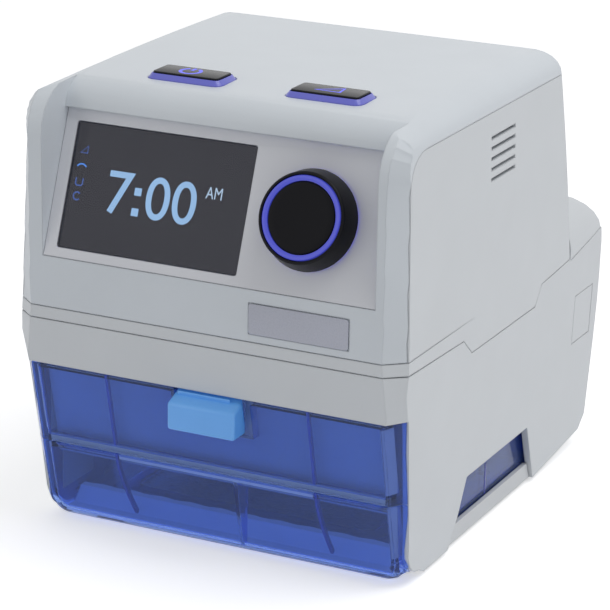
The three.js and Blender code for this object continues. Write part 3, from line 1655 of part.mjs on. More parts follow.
function tankTub() {
  const top = tankSplit - tankSplitGap / 2;
  const shell = cut(common(tankWhole, belowHeight(top)), tankSpace);
  const rib = common(tankForm(tankWall / 2), belowHeight(top - tankLip), box(
    tankRibX - plateSheet, tankRibX + plateSheet, tankFrontTopY, tankFrontFootY + tankLip * 2, 0, top,
  ));
  const plateSeat = prismZ(basePlatePlan(-gap), 0, tankUnderside + plateSheet + gap);
  const plateHole = prismZ(basePlatePlan(plateRim), 0, tankUnderside + overrun / 3);
  const groove = cut(
    gasketBand(gasketWidth / 2 + gap, top - gasketHeight, top + gap),
    gasketBand(-gasketWidth / 2 - gap, top - gasketHeight - gap, top + gap * 2),
  );
  return cut(join(shell, tankRim(top - tankLip, top), rib), plateSeat, plateHole, groove);
}

// Plan of the gasket on the middle of the tank's rim, grown by an amount.
function gasketBand(grow, lowZ, highZ) {
  const middle = tankWall + tankLip / 2;
  return prismZ(roundedRectangle(
    -tankHalf + middle - grow, tankHalf - middle + grow,
    tankFrontYAt(tankSplit) + middle - grow, tankRearY - middle + grow, tankLip + grow, 3,
  ), lowZ, highZ);
}

function tankGasket() {
  const low = tankSplit - tankSplitGap / 2 - gasketHeight + gap;
  const high = tankSplit + tankSplitGap / 2 - gap / 2;
  return cut(gasketBand(gasketWidth / 2, low, high), gasketBand(-gasketWidth / 2, low - gap, high + gap));
}

const latchFrontY = tankFrontTopY - latchStand;
const latchPlateY = tankFrontYAt(latchLow) - tankGap;
const latchStemRearY = latchPlateY + latchStemDepth;
const springY = latchPlateY + latchStemDepth / 2;

// Pocket in the lid for the latch: a shallow seat for its head, a slot for its stem and a spring well.
function latchPocket() {
  const head = box(
    latchX - latchHalf - gap, latchX + latchHalf + gap, frontY - overrun, latchPlateY + gap,
    latchLow - gap, bandLow + gap,
  );
  const stem = box(
    latchX - latchStemHalf - gap, latchX + latchStemHalf + gap, latchPlateY, latchStemRearY + gap,
    latchHigh - latchStemHeight - latchTravel - gap, bandLow + gap,
  );
  const well = box(
    latchX - springRadius - springWire, latchX + springRadius + springWire,
    springY - springRadius - springWire, springY + springRadius + springWire,
    latchLow, bandLow,
  );
  return join(head, stem, well);
}

function tankLid() {
  const low = tankSplit + tankSplitGap / 2;
  const upper = cut(tankWhole, belowHeight(low));
  const shell = cut(upper, tankSpace);
  const block = common(upper, box(
    latchX - latchHalf - gap - tankWall, latchX + latchHalf + gap + tankWall,
    frontY, latchStemRearY + gap + tankWall,
    latchLow - tankWall, bandLow,
  ));
  const ports = [portLeftX, portRightX].map(
    (x) => rodY(x, portHeight, portRadius, tankRearY - tankWall * 2, tankRearY + gap),
  );
  return cut(join(shell, tankRim(low, low + tankWall), block), latchPocket(), ...ports);
}

function tankBasePlate() {
  return prismZ(basePlatePlan(0), tankUnderside, tankUnderside + plateSheet);
}

// Latch: a thumb block in front and a stem behind it that the spring pushes up.
function tankLatch() {
  const head = prismX([
    [latchFrontY, latchLow],
    [latchFrontY, latchHigh - latchTopDrop],
    [latchPlateY, latchHigh],
    [latchPlateY, latchLow],
  ], latchX - latchHalf, latchX + latchHalf);
  const stem = box(
    latchX - latchStemHalf, latchX + latchStemHalf, latchPlateY - gap, latchStemRearY,
    latchHigh - latchStemHeight, latchHigh,
  );
  return join(head, stem);
}

// Compression spring below the latch's stem, one unbroken coil.
function latchSpring() {
  const low = latchLow + gap;
  const high = latchHigh - latchStemHeight - gap;
  const steps = springTurns * springSteps;
  const rise = high - low - springWire;
  const rings = [];
  for (let i = 0; i <= steps; i += 1) {
    const angle = (2 * Math.PI * i) / springSteps;
    const outward = new THREE.Vector3(Math.cos(angle), Math.sin(angle), 0);
    const centre = new THREE.Vector3(latchX, springY, low + springWire / 2 + (rise * i) / steps);
    centre.addScaledVector(outward, springRadius);
    const ring = [];
    for (let k = 0; k < springSides; k += 1) {
      const turn = (2 * Math.PI * k) / springSides;
      const point = centre.clone().addScaledVector(outward, (springWire / 2) * Math.cos(turn));
      point.z += (springWire / 2) * Math.sin(turn);
      ring.push(point.toArray());
    }
    rings.push(ring);
  }
  return loft(rings);
}

function portSeal(x) {
  return cut(
    rodY(x, portHeight, portRadius + sealWall, tankRearY + gap, bayRearY + baseWall - gap),
    rodY(x, portHeight, portRadius, tankRearY, bayRearY + baseWall + gap),
  );
}

function airDuct() {
  const front = bayRearY + baseWall + gap;
  const rear = unitOutletRearY;
  const left = ductRightX - ductHalf;
  const right = ductRightX + ductHalf;
  const low = portHeight - portRadius - ductWall * 2;
  const top = seamKeelRearTop - seamGap - baseWall - gap;
  const outer = box(left, right, front, rear, low, top);
  const inner = box(
    left + ductWall, right - ductWall, front + ductWall, rear - ductWall, low + ductWall, top + gap,
  );
  const inlet = rodY(ductRightX, portHeight, portRadius, front - gap, front + ductWall + gap);
  return cut(outer, inner, inlet);
}

function humidDuct() {
  const front = bayRearY + baseWall + gap;
  const rear = outletInnerY - gap;
  const outer = box(
    portLeftX - ductHalf, portLeftX + ductHalf, front, rear, portHeight - ductHalf, portHeight + ductHalf,
  );
  return cut(outer, rodY(portLeftX, portHeight, portRadius, front - gap, rear + gap));
}

const outletInnerY = baseRearReach - baseWall * 2 - outletFlange;

function outletPort() {
  const wallY = baseRearReach;
  const tipY = wallY + outletLength;
  const tube = solidOf(new THREE.LatheGeometry([
    new THREE.Vector2(outletBore, outletInnerY),
    new THREE.Vector2(outletFlangeRadius, outletInnerY),
    new THREE.Vector2(outletFlangeRadius, outletInnerY + outletFlange),
    new THREE.Vector2(outletRootRadius, outletInnerY + outletFlange),
    new THREE.Vector2(outletRootRadius, wallY),
    new THREE.Vector2(outletTipRadius, tipY),
    new THREE.Vector2(outletBore, tipY),
    new THREE.Vector2(outletBore, outletInnerY),
  ], roundSegments).translate(portLeftX, 0, portHeight));
  return tube;
}

function dockConnector() {
  const top = seamHeightAt(dockFrontY) + dockStand;
  return box(-dockHalf, dockHalf, dockFrontY, dockFrontY + dockDepth, top - dockBody, top);
}

function heaterBoard() {
  const top = heaterBoardHeight + boardThickness;
  const board = box(
    -heaterBoardHalf, heaterBoardHalf, heaterBoardFrontY, heaterBoardRearY, heaterBoardHeight, top,
  );
  const relay = box(
    -heaterBoardHalf / 2, 0, heaterBoardFrontY + dockDepth, heaterBoardRearY - dockDepth,
    top - gap, top + heaterBoardHeight / 2,
  );
  return join(board, relay);
}

// Materials, one for each finish.
function finish(color, roughness, metalness = 0, opacity = 1) {
  return { color, roughness, metalness, opacity, transparent: opacity < 1 };
}

const finishes = {
  paleShell: finish(0xd0d4d8, 0.45),
  sideShell: finish(0xc7cacd, 0.45),
  panel: finish(0xaaaab1, 0.4),
  blackPlastic: finish(0x1c1c20, 0.35),
  darkGlass: finish(0x2c2c30, 0.1),
  screen: finish(0x161a24, 0.3),
  glow: finish(0x4b50b9, 0.3),
  blueSkirt: finish(0x5f64be, 0.35),
  tankBlue: finish(0x3048a8, 0.08, 0, 0.6),
  latchBlue: finish(0x5f96d2, 0.3),
  board: finish(0x1f6b3a, 0.6),
  steel: finish(0xb8babd, 0.3, 1),
  darkMetal: finish(0x5a5c60, 0.4, 1),
  rubber: finish(0x2a2a2c, 0.9),
  clearRubber: finish(0xb9c0c6, 0.7),
  foam: finish(0x3a3c40, 0.95),
  innerPlastic: finish(0xb4b8bb, 0.6),
  plate: finish(0xb9bcc6, 0.35),
  insulator: finish(0xd8cfae, 0.8),
};

function piece(parent, name, solid, finishName) {
  const mesh = new THREE.Mesh(geometryOf(solid), new THREE.MeshStandardMaterial(finishes[finishName]));
  mesh.name = name;
  parent.add(mesh);
  return mesh;
}

function buildUnit() {
  const unit = new THREE.Group();
  piece(unit, 'top_cover', topCover(), 'paleShell');
  piece(unit, 'main_housing', mainHousing(), 'sideShell');
  piece(unit, 'chassis_tray', chassisTray(), 'sideShell');
  piece(unit, 'front_bezel', frontBezel(), 'panel');
  piece(unit, 'nameplate', namePlate(), 'plate');
  piece(unit, 'button_board', buttonBoard(), 'board');
  for (const [name, x] of [['power', powerX], ['ramp', rampX]]) {
    piece(unit, `${name}_button_lens`, buttonLens(x), 'blueSkirt');
    piece(unit, `${name}_button_cap`, buttonCap(x), 'blackPlastic');
  }
  piece(unit, 'blower_lower_housing', blowerLowerHousing(), 'innerPlastic');
  piece(unit, 'blower_upper_housing', blowerUpperHousing(), 'innerPlastic');
  piece(unit, 'motor', motor(), 'darkMetal');
  piece(unit, 'impeller', impeller(), 'innerPlastic');
  piece(unit, 'inlet_muffler', inletMuffler(), 'innerPlastic');
  piece(unit, 'air_filter', airFilter(), 'foam');
  piece(unit, 'filter_cover', filterCover(), 'sideShell');
  piece(unit, 'main_board', mainBoard(), 'board');
  piece(unit, 'memory_card', memoryCard(), 'blackPlastic');
  piece(unit, 'card_door', cardDoor(), 'sideShell');
  piece(unit, 'power_jack', powerJack(), 'blackPlastic');
  piece(unit, 'blower_outlet_duct', blowerOutletDuct(), 'innerPlastic');
  screwPlaces().forEach(([x, y], i) => piece(unit, `chassis_screw_${i + 1}`, chassisScrew(x, y), 'steel'));
  return unit;
}

function buildPanel() {
  const panel = new THREE.Group();
  panel.position.set(0, frontY, panelFootHeight);
  panel.rotation.x = Math.PI / 2 - panelTilt;
  piece(panel, 'display_lens', displayLens(), 'darkGlass');
  piece(panel, 'lcd_module', lcdModule(), 'screen');
  piece(panel, 'display_board', displayBoard(), 'board');
  piece(panel, 'encoder_body', encoderBody(), 'darkMetal');
  piece(panel, 'encoder_shaft', encoderShaft(), 'steel');
  const knob = new THREE.Group();
  knob.position.set(knobX, knobUp, 0);
  piece(knob, 'knob_skirt', knobSkirt(), 'blackPlastic');
  piece(knob, 'knob_light_ring', knobLightRing(), 'glow');
  piece(knob, 'knob_cap', knobCap(), 'blackPlastic');
  panel.add(knob);
  return panel;
}

function buildBase() {
  const base = new THREE.Group();
  piece(base, 'base_housing', baseHousing(), 'sideShell');
  piece(base, 'tower_cap', towerCap(), 'sideShell');
  piece(base, 'base_floor', baseFloor(), 'innerPlastic');
  piece(base, 'heater_plate', heaterPlate(), 'steel');
  piece(base, 'heater_insulator', heaterInsulator(), 'insulator');
  piece(base, 'heater_element', heaterElement(), 'darkMetal');
  piece(base, 'heater_board', heaterBoard(), 'board');
  piece(base, 'dock_connector', dockConnector(), 'blackPlastic');
  piece(base, 'air_duct', airDuct(), 'innerPlastic');
  piece(base, 'humid_duct', humidDuct(), 'innerPlastic');
  piece(base, 'outlet_port', outletPort(), 'sideShell');
  piece(base, 'tank_inlet_seal', portSeal(portRightX), 'clearRubber');
  piece(base, 'tank_outlet_seal', portSeal(portLeftX), 'clearRubber');
  piece(base, 'release_tab_right', releaseTab(1), 'sideShell');
  piece(base, 'release_tab_left', releaseTab(-1), 'sideShell');
  footPlaces().forEach(([x, y], i) => piece(base, `rubber_foot_${i + 1}`, rubberFoot(x, y), 'rubber'));
  return base;
}

function buildTank() {
  const tank = new THREE.Group();
  piece(tank, 'tank_tub', tankTub(), 'tankBlue');
  piece(tank, 'tank_lid', tankLid(), 'tankBlue');
  piece(tank, 'tank_gasket', tankGasket(), 'clearRubber');
  piece(tank, 'tank_base_plate', tankBasePlate(), 'darkMetal');
  piece(tank, 'tank_latch', tankLatch(), 'latchBlue');
  piece(tank, 'latch_spring', latchSpring(), 'steel');
  return tank;
}

// The whole machine, moved so that the middle of its footprint stands on the origin.
const machine = new THREE.Group();
const rearMost = baseRearReach + outletLength;
machine.add(buildUnit(), buildPanel(), buildBase(), buildTank());
machine.updateMatrixWorld(true);
const reach = new THREE.Box3().setFromObject(machine, true);
machine.position.y = -(reach.min.y + rearMost) / 2;

export default machine;
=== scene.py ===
"""Looks of the breathing-therapy air machine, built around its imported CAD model.

The CAD nodes keep their places and get their finishes here. The knob, the buttons, the plate, the
tub and the latch are modelled again and stand for their CAD nodes. The lit display, the prints and
the tank's inner walls are added. Sizes are in millimetres and become metres in the mesh.
"""

from __future__ import annotations

import json
import logging
import math
from dataclasses import dataclass
from enum import Enum

import bmesh
import bpy
from mathutils import Matrix, Vector
from mathutils.bvhtree import BVHTree

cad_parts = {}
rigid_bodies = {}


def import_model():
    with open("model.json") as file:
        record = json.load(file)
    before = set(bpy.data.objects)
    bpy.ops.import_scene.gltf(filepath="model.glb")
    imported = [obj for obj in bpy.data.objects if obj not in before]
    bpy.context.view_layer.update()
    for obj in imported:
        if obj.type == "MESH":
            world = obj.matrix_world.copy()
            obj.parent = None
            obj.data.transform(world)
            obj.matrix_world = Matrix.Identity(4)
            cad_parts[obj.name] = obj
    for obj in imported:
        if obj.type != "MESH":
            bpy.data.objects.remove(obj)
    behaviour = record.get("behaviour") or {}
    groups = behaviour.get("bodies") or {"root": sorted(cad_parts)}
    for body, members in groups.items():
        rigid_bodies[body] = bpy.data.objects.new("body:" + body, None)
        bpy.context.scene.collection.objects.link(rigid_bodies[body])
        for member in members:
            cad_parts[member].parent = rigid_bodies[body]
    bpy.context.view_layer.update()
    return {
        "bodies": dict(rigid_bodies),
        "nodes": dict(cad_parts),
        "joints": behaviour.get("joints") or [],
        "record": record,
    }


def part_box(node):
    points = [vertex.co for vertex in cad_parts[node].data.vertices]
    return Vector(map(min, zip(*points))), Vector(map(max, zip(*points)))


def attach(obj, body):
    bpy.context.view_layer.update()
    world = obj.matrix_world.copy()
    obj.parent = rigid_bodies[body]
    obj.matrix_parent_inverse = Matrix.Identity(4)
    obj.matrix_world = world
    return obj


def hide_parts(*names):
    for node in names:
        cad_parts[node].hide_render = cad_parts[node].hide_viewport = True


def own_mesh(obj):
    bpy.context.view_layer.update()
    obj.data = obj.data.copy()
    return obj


LOG = logging.getLogger("air_machine")
MM = 0.001
Mesh = bmesh.types.BMesh
Socket = bpy.types.NodeSocket
Colour = tuple[float, float, float]
Triple = tuple[float, float, float]
Point = tuple[float, float]
Span = tuple[float, float]
Line = tuple[tuple[Point, ...], bool]

# Distances in millimetres under which corners are merged: new pieces, CAD copies, CAD nodes.
# Faces that meet at less than the flat angle are joined in a copy.
MERGE_NEW = 0.001
MERGE_COPY = 0.002
MERGE_NODE = 0.004
FLAT_DEGREES = 0.6

# The range in which a noise pattern mostly stays, the sizes of the patterns, and their finer layers.
NOISE_LOW = 0.3
NOISE_HIGH = 0.7
CLOUD_MM = 28.0
HAZE_MM = 22.0
FINE_MM = 6.0
WAVE_MM = 14.0
FLOOR_MM = 400.0
GRAIN_DETAIL = 3.0
PLAIN_DETAIL = 1.0

# Shares by which roughness, light and the floor's colour vary, the roughness of clear coats, and the
# samples that soften an edge.
SOLID_VARIES = 0.1
CLEAR_VARIES = 0.15
GLOW_VARIES = 0.04
FLOOR_VARIES = 0.002
SOLID_COAT_ROUGHNESS = 0.08
CLEAR_COAT_ROUGHNESS = 0.03
EDGE_SAMPLES = 4

# The sRGB curve: where its straight part ends, that part's slope, and the rest's offset and power.
STRAIGHT_END = 0.04045
STRAIGHT_SLOPE = 12.92
CURVE_OFFSET = 0.055
CURVE_POWER = 2.4

# Depth and curve steps of figures before they are scaled, and the distance that merges their corners.
FIGURE_DEPTH = 0.1
FIGURE_STEPS = 8
FIGURE_MERGE = 1e-5

# The standby mark's ring and stem and the ramp mark's wedge, in millimetres from the cap's middle.
POWER_CENTRE = (-0.8, 0.3)
POWER_RADIUS = 4.0
POWER_ARC = (120.0, 420.0)
POWER_STEM = ((-0.8, 1.2), (-0.8, 4.6))
RAMP_WEDGE = ((-5.4, -2.0), (4.6, -2.0), (4.0, 4.0))


class Body(Enum):
    """Moving bodies that the pieces ride on."""

    UNIT = "generator"
    POWER = "power_button"
    RAMP = "ramp_button"
    KNOB = "knob"
    TANK = "tank"
    LATCH = "latch"


class Relief(Enum):
    """Kinds of surface grain, each with its pattern's scale along the axes."""

    SATIN = (1.0, 1.0, 1.0)
    BRUSHED = (0.05, 1.0, 1.0)


def linear(colour: Colour) -> tuple[float, float, float, float]:
    """Turns a colour as it is seen, 0 to 255, into the linear one that a shader takes.

    Args:
        colour: Red, green and blue as seen on a screen.

    Returns:
        Linear red, green and blue with a full alpha.
    """
    shares = [channel / 255 for channel in colour]
    low = [share / STRAIGHT_SLOPE for share in shares]
    high = [((share + CURVE_OFFSET) / (1 + CURVE_OFFSET)) ** CURVE_POWER for share in shares]
    return (*[a if s <= STRAIGHT_END else b for s, a, b in zip(shares, low, high)], 1.0)


def shade(colour: Colour, share: float) -> Colour:
    """Multiplies each channel of a colour by a share, and keeps it at 255 or less."""
    red, green, blue = (min(255.0, channel * share) for channel in colour)
    return (red, green, blue)


class Wiring:
    """A node tree with short calls to add and join nodes."""

    def __init__(self, tree: bpy.types.NodeTree) -> None:
        """Empties the tree that is to be wired."""
        self.tree = tree
        tree.nodes.clear()

    def add(
        self, kind: str, values: dict[str, object] | None = None, **settings: object,
    ) -> bpy.types.Node:
        """Adds a node.

        Args:
            kind: Blender's name for the node type.
            values: Values of its input sockets.
            **settings: Properties of the node.

        Returns:
            The new node.
        """
        node = self.tree.nodes.new(kind)
        for key, value in settings.items():
            setattr(node, key, value)
        for key, value in (values or {}).items():
            node.inputs[key].default_value = value
        return node

    def link(self, source: Socket, target: Socket) -> None:
        """Joins two sockets."""
        self.tree.links.new(source, target)

    def background_rays(self) -> Socket:
        """Gives 1 for the rays that show the background: camera, mirror and see-through rays.

        Returns:
            The value socket.
        """
        path = self.add("ShaderNodeLightPath")
        result = path.outputs["Is Camera Ray"]
        for kind in ("Is Glossy Ray", "Is Transmission Ray"):
            either = self.add("ShaderNodeMath", operation="MAXIMUM")
            self.link(result, either.inputs[0])
            self.link(path.outputs[kind], either.inputs[1])
            result = either.outputs[0]
        return result


class Bench(Wiring):
    """A new material's node tree, with its patterns, colours and relief."""

    def __init__(self, name: str) -> None:
        """Starts an empty material.

        Args:
            name: Name of the new material.
        """
        self.material = bpy.data.materials.new(name)
        self.material.use_nodes = True
        super().__init__(self.material.node_tree)
        self.output = self.add("ShaderNodeOutputMaterial")
        self.place = self.add("ShaderNodeTexCoord").outputs["Object"]

    def noise(
        self, size_mm: float, detail: float = 2.0, stretch: Triple = Relief.SATIN.value,
    ) -> Socket:
        """Adds a noise pattern of a real size.

        Args:
            size_mm: Size of the pattern's grains in millimetres.
            detail: Number of finer layers.
            stretch: Scale of the pattern along each axis.

        Returns:
            The pattern's value socket.
        """
        mapping = self.add("ShaderNodeMapping", {"Scale": stretch})
        self.link(self.place, mapping.inputs["Vector"])
        noise = self.add("ShaderNodeTexNoise", {"Scale": 1 / (size_mm * MM), "Detail": detail})
        self.link(mapping.outputs["Vector"], noise.inputs["Vector"])
        return noise.outputs["Fac"]

    def varied(self, value: Socket, middle: float, share: float) -> Socket:
        """Makes a value vary with a pattern.

        Args:
            value: The pattern, about 0 to 1.
            middle: The middle of the result.
            share: How far it goes to each side, as a share of the middle.

        Returns:
            The varied value.
        """
        node = self.add("ShaderNodeMapRange", {
            "From Min": NOISE_LOW,
            "From Max": NOISE_HIGH,
            "To Min": middle * (1 - share),
            "To Max": middle * (1 + share),
        })
        self.link(value, node.inputs["Value"])
        return node.outputs["Result"]

    def tinted(self, value: Socket, first: Colour, second: Colour) -> Socket:
        """Mixes two colours by a pattern.

        Args:
            value: The pattern.
            first: Colour where the pattern is low.
            second: Colour where the pattern is high.

        Returns:
            The mixed colour.
        """
        mix = self.add("ShaderNodeMix", data_type="RGBA")
        colours = [s for s in mix.inputs if s.type == "RGBA"]
        colours[0].default_value = linear(first)
        colours[1].default_value = linear(second)
        self.link(value, mix.inputs["Factor"])
        return [s for s in mix.outputs if s.type == "RGBA"][0]

    def mottled(self, value: Socket, colour: Colour, share: float) -> Socket:
        """Makes a colour a share darker and lighter by a pattern."""
        return self.tinted(value, shade(colour, 1 - share), shade(colour, 1 + share))

    def surface(
        self, edge_mm: float, height: Socket, depth_mm: float, shader: bpy.types.Node,
    ) -> None:
        """Gives the shader softened edges and relief, and joins it to the output.

        Args:
            edge_mm: Radius of small moulded edges, 0 for none.
            height: The relief's pattern.
            depth_mm: Depth of the relief, 0 for none.
            shader: The material's shader.
        """
        normal = None
        if edge_mm > 0:
            edge = self.add("ShaderNodeBevel", {"Radius": edge_mm * MM}, samples=EDGE_SAMPLES)
            normal = edge.outputs["Normal"]
        if depth_mm > 0:
            bump = self.add("ShaderNodeBump", {"Strength": 1.0, "Distance": depth_mm * MM})
            self.link(height, bump.inputs["Height"])
            if normal is not None:
                self.link(normal, bump.inputs["Normal"])
            normal = bump.outputs["Normal"]
        if normal is not None:
            self.link(normal, shader.inputs["Normal"])
        self.link(shader.outputs["BSDF"], self.output.inputs["Surface"])


@dataclass(frozen=True)
class Finish:
    """A solid finish: plastic, rubber, metal, foam or ink."""

    name: str
    colour: Colour
    roughness: float = 0.42
    metallic: float = 0.0
    relief: Relief = Relief.SATIN
    grain_mm: float = 0.35
    depth_mm: float = 0.006
    mottle: float = 0.015
    edge_mm: float = 0.5
    coat: float = 0.0
    specular: float = 0.5
    glow: Colour | None = None
    glow_strength: float = 0.0

    def build(self) -> bpy.types.Material:
        """Makes the material's nodes.

        Returns:
            The finished material.
        """
        bench = Bench(self.name)
        shader = bench.add("ShaderNodeBsdfPrincipled", {
            "Metallic": self.metallic,
            "Specular IOR Level": self.specular,
            "Coat Weight": self.coat,
            "Coat Roughness": SOLID_COAT_ROUGHNESS,
        })
        grain = bench.noise(self.grain_mm, GRAIN_DETAIL, self.relief.value)
        cloud = bench.noise(CLOUD_MM)
        bench.link(bench.mottled(cloud, self.colour, self.mottle), shader.inputs["Base Color"])
        bench.link(bench.varied(grain, self.roughness, SOLID_VARIES), shader.inputs["Roughness"])
        if self.glow is not None:
            bench.link(bench.mottled(cloud, self.glow, GLOW_VARIES), shader.inputs["Emission Color"])
            shader.inputs["Emission Strength"].default_value = self.glow_strength
        bench.surface(self.edge_mm, grain, self.depth_mm, shader)
        return bench.material


@dataclass(frozen=True)
class Clear:
    """A clear or smoked plastic that light passes through."""

    name: str
    colour: Colour
    haze: Colour
    roughness: float
    clarity: float
    bend: float
    wave_mm: float
    edge_mm: float
    coat: float = 0.0

    def build(self) -> bpy.types.Material:
        """Makes the material's nodes.

        Returns:
            The finished material.
        """
        bench = Bench(self.name)
        shader = bench.add("ShaderNodeBsdfPrincipled", {
            "Transmission Weight": self.clarity,
            "IOR": self.bend,
            "Coat Weight": self.coat,
            "Coat Roughness": CLEAR_COAT_ROUGHNESS,
        })
        cloud = bench.noise(HAZE_MM)
        bench.link(bench.tinted(cloud, self.colour, self.haze), shader.inputs["Base Color"])
        rough = bench.varied(bench.noise(FINE_MM), self.roughness, CLEAR_VARIES)
        bench.link(rough, shader.inputs["Roughness"])
        bench.surface(self.edge_mm, bench.noise(WAVE_MM, PLAIN_DETAIL), self.wave_mm, shader)
        return bench.material


def lit(name: str, colour: Colour, glow: Colour, strength: float) -> Finish:
    """Gives the smooth finish of a lit sign: its colour when off, its light and the light's strength."""
    return Finish(name, colour, 0.5, edge_mm=0.0, depth_mm=0.0, glow=glow, glow_strength=strength)


def inner(name: str, colour: Colour, roughness: float = 0.5, **rest: object) -> Finish:
    """Gives the finish of an inner wall of the tank; the rest are other fields of the finish."""
    return Finish(name, colour, roughness, edge_mm=0.0, mottle=0.05, **rest)


PALE_SHELL = Finish("pale_shell", (210, 216, 222), 0.38, edge_mm=0.8)
SIDE_SHELL = Finish("side_shell", (209, 213, 217), 0.4, edge_mm=0.8)
PANEL_SHELL = Finish("panel_shell", (212, 214, 220), 0.42, edge_mm=0.4)
BARE_PLATE = Finish("bare_plate", (178, 181, 194), 0.28, edge_mm=0.3, coat=0.3, mottle=0.04)
GREEN_BOARD = Finish("green_board", (31, 107, 59), 0.5, grain_mm=1.2, depth_mm=0.02, mottle=0.1)
BLACK_PLASTIC = Finish("black_plastic", (14, 14, 19), 0.36, specular=0.12, mottle=0.05)
CAP_BLACK = Finish("cap_black", (14, 16, 22), 0.24, specular=0.16, edge_mm=0.0, mottle=0.05)
KNOB_FACE = Finish("knob_face", (8, 8, 14), 0.32, specular=0.1, edge_mm=0.0, mottle=0.05)
INNER_PLASTIC = Finish("inner_plastic", (208, 211, 214), 0.5, grain_mm=0.6, depth_mm=0.01, mottle=0.03)
DARK_METAL = Finish("dark_metal", (89, 92, 97), 0.42, 0.85, Relief.BRUSHED, 0.2, 0.004, 0.05)
BRIGHT_STEEL = Finish("bright_steel", (184, 186, 189), 0.28, 1.0, Relief.BRUSHED, 0.15, 0.004, 0.03)
FILTER_FOAM = Finish("filter_foam", (59, 61, 64), 0.95, grain_mm=0.9, depth_mm=0.4, mottle=0.2)
INSULATOR = Finish("insulator", (217, 206, 173), 0.7, grain_mm=0.5, depth_mm=0.02, mottle=0.05)
BLACK_RUBBER = Finish("black_rubber", (41, 41, 43), 0.75, grain_mm=0.4, depth_mm=0.02, specular=0.3)
CLEAR_RUBBER = Finish("clear_rubber", (186, 191, 199), 0.5, grain_mm=0.5, depth_mm=0.01, mottle=0.03)
PRINT_GREY = Finish("print_grey", (70, 74, 80), 0.6, edge_mm=0.0, depth_mm=0.002, mottle=0.04)
PRINT_BLUE = Finish(
    "print_blue", (70, 72, 170), 0.5, edge_mm=0.0, depth_mm=0.002, glow=(92, 94, 206), glow_strength=1.1,
)
BLUE_SKIRT = Finish(
    "blue_skirt", (92, 96, 184), 0.3, edge_mm=0.0, coat=0.3, glow=(84, 86, 200), glow_strength=0.16,
)
RING_LIGHT = Finish(
    "ring_light", (50, 54, 150), 0.3, edge_mm=0.0, coat=0.2, glow=(66, 74, 200), glow_strength=0.5,
)
GLOW_RING = Finish("glow_ring", (60, 60, 180), 0.4, edge_mm=0.0, glow=(86, 76, 240), glow_strength=6.0)
# The latch's glow is painted light: it stands for light passing through its translucent blue plastic, and the
# latch is no lamp.
LATCH_BLUE_PAINTED_GLOW = Finish(
    "latch_blue_painted_glow", (104, 170, 236), 0.3, edge_mm=0.0, coat=0.2, mottle=0.03,
    glow=(60, 150, 255), glow_strength=0.1,
)
DARK_SCREEN = {"roughness": 0.6, "grain_mm": 5.0, "depth_mm": 0.0, "edge_mm": 0.0, "specular": 0.0}
# The screen's glow is partly the display's faint backlight and partly painted light, standing for the light
# that falls on it through the lens.
SCREEN = Finish("screen", (8, 8, 10), glow=(36, 37, 42), glow_strength=1.0, **DARK_SCREEN)
# The film's glow is mostly painted light, standing for the light that falls on the dark display behind the
# lens, and partly the display's faint backlight.
DISPLAY_FILM = Finish("display_film", (8, 8, 10), glow=(141, 137, 136), glow_strength=1.0, **DARK_SCREEN)
DIGIT_LIGHT = lit("digit_light", (20, 26, 34), (164, 199, 223), 5.4)
MARK_LIGHT = lit("mark_light", (20, 26, 34), (206, 228, 238), 4.6)
ICON_DIM = lit("icon_dim", (20, 22, 30), (66, 84, 130), 8.0)
ICON_BRIGHT = lit("icon_bright", (20, 26, 34), (84, 134, 200), 6.5)
FIN_BLUE = inner("fin_blue", (34, 50, 150), 0.2, coat=0.2)
BAFFLE_BLUE = inner("baffle_blue", (190, 186, 176))
SEAL_GREY = inner("seal_grey", (184, 182, 174))
CORNER_BLUE = inner("corner_blue", (146, 152, 176))
RIM_PALE = inner("rim_pale", (214, 212, 214), 0.4)
# The tub floor's glow is painted light: it stands for light from the bright table below, coming up through
# the clear tub.
FLOOR_BLUE_PAINTED_GLOW = inner("floor_blue_painted_glow", (150, 166, 200), 0.4, glow=(150, 172, 210), glow_strength=0.3)
DARK_LENS = Clear("dark_lens", (112, 115, 125), (114, 118, 128), 0.03, 0.92, 1.12, 0.0, 0.0)
BLUE_TANK = Clear("blue_tank", (136, 170, 246), (144, 178, 250), 0.04, 0.9, 1.14, 0.012, 0.5, 0.3)


def placed(name: str, data: bpy.types.ID) -> bpy.types.Object:
    """Makes an object of a mesh, curve, camera or lamp and puts it in the scene.

    Args:
        name: Name of the object.
        data: What it holds.

    Returns:
        The new object.
    """
    holder = bpy.data.objects.new(name, data)
    bpy.context.scene.collection.objects.link(holder)
    return holder


def stored(name: str, mesh: Mesh) -> bpy.types.Mesh:
    """Keeps a worked mesh as mesh data and frees it.

    Args:
        name: Name of the data.
        mesh: The worked mesh.

    Returns:
        The mesh data.
    """
    data = bpy.data.meshes.new(name)
    mesh.to_mesh(data)
    mesh.free()
    return data


def merged(mesh: Mesh) -> Mesh:
    """Merges a new form's corners and points its faces outwards.

    Args:
        mesh: The form.

    Returns:
        The same form.
    """
    bmesh.ops.remove_doubles(mesh, verts=mesh.verts, dist=MERGE_NEW * MM)
    bmesh.ops.recalc_face_normals(mesh, faces=mesh.faces)
    return mesh


def soften(mesh: Mesh, edges: list[bmesh.types.BMEdge], radius_mm: float, segments: int) -> Mesh:
    """Rounds edges.

    Args:
        mesh: The form.
        edges: Its edges to round.
        radius_mm: Width of the rounding.
        segments: Steps round each edge.

    Returns:
        The same form.
    """
    bmesh.ops.bevel(
        mesh, geom=edges, offset=radius_mm * MM, offset_type="OFFSET", segments=segments, profile=0.5,
        affect="EDGES", clamp_overlap=True, material=-1,
    )
    return mesh


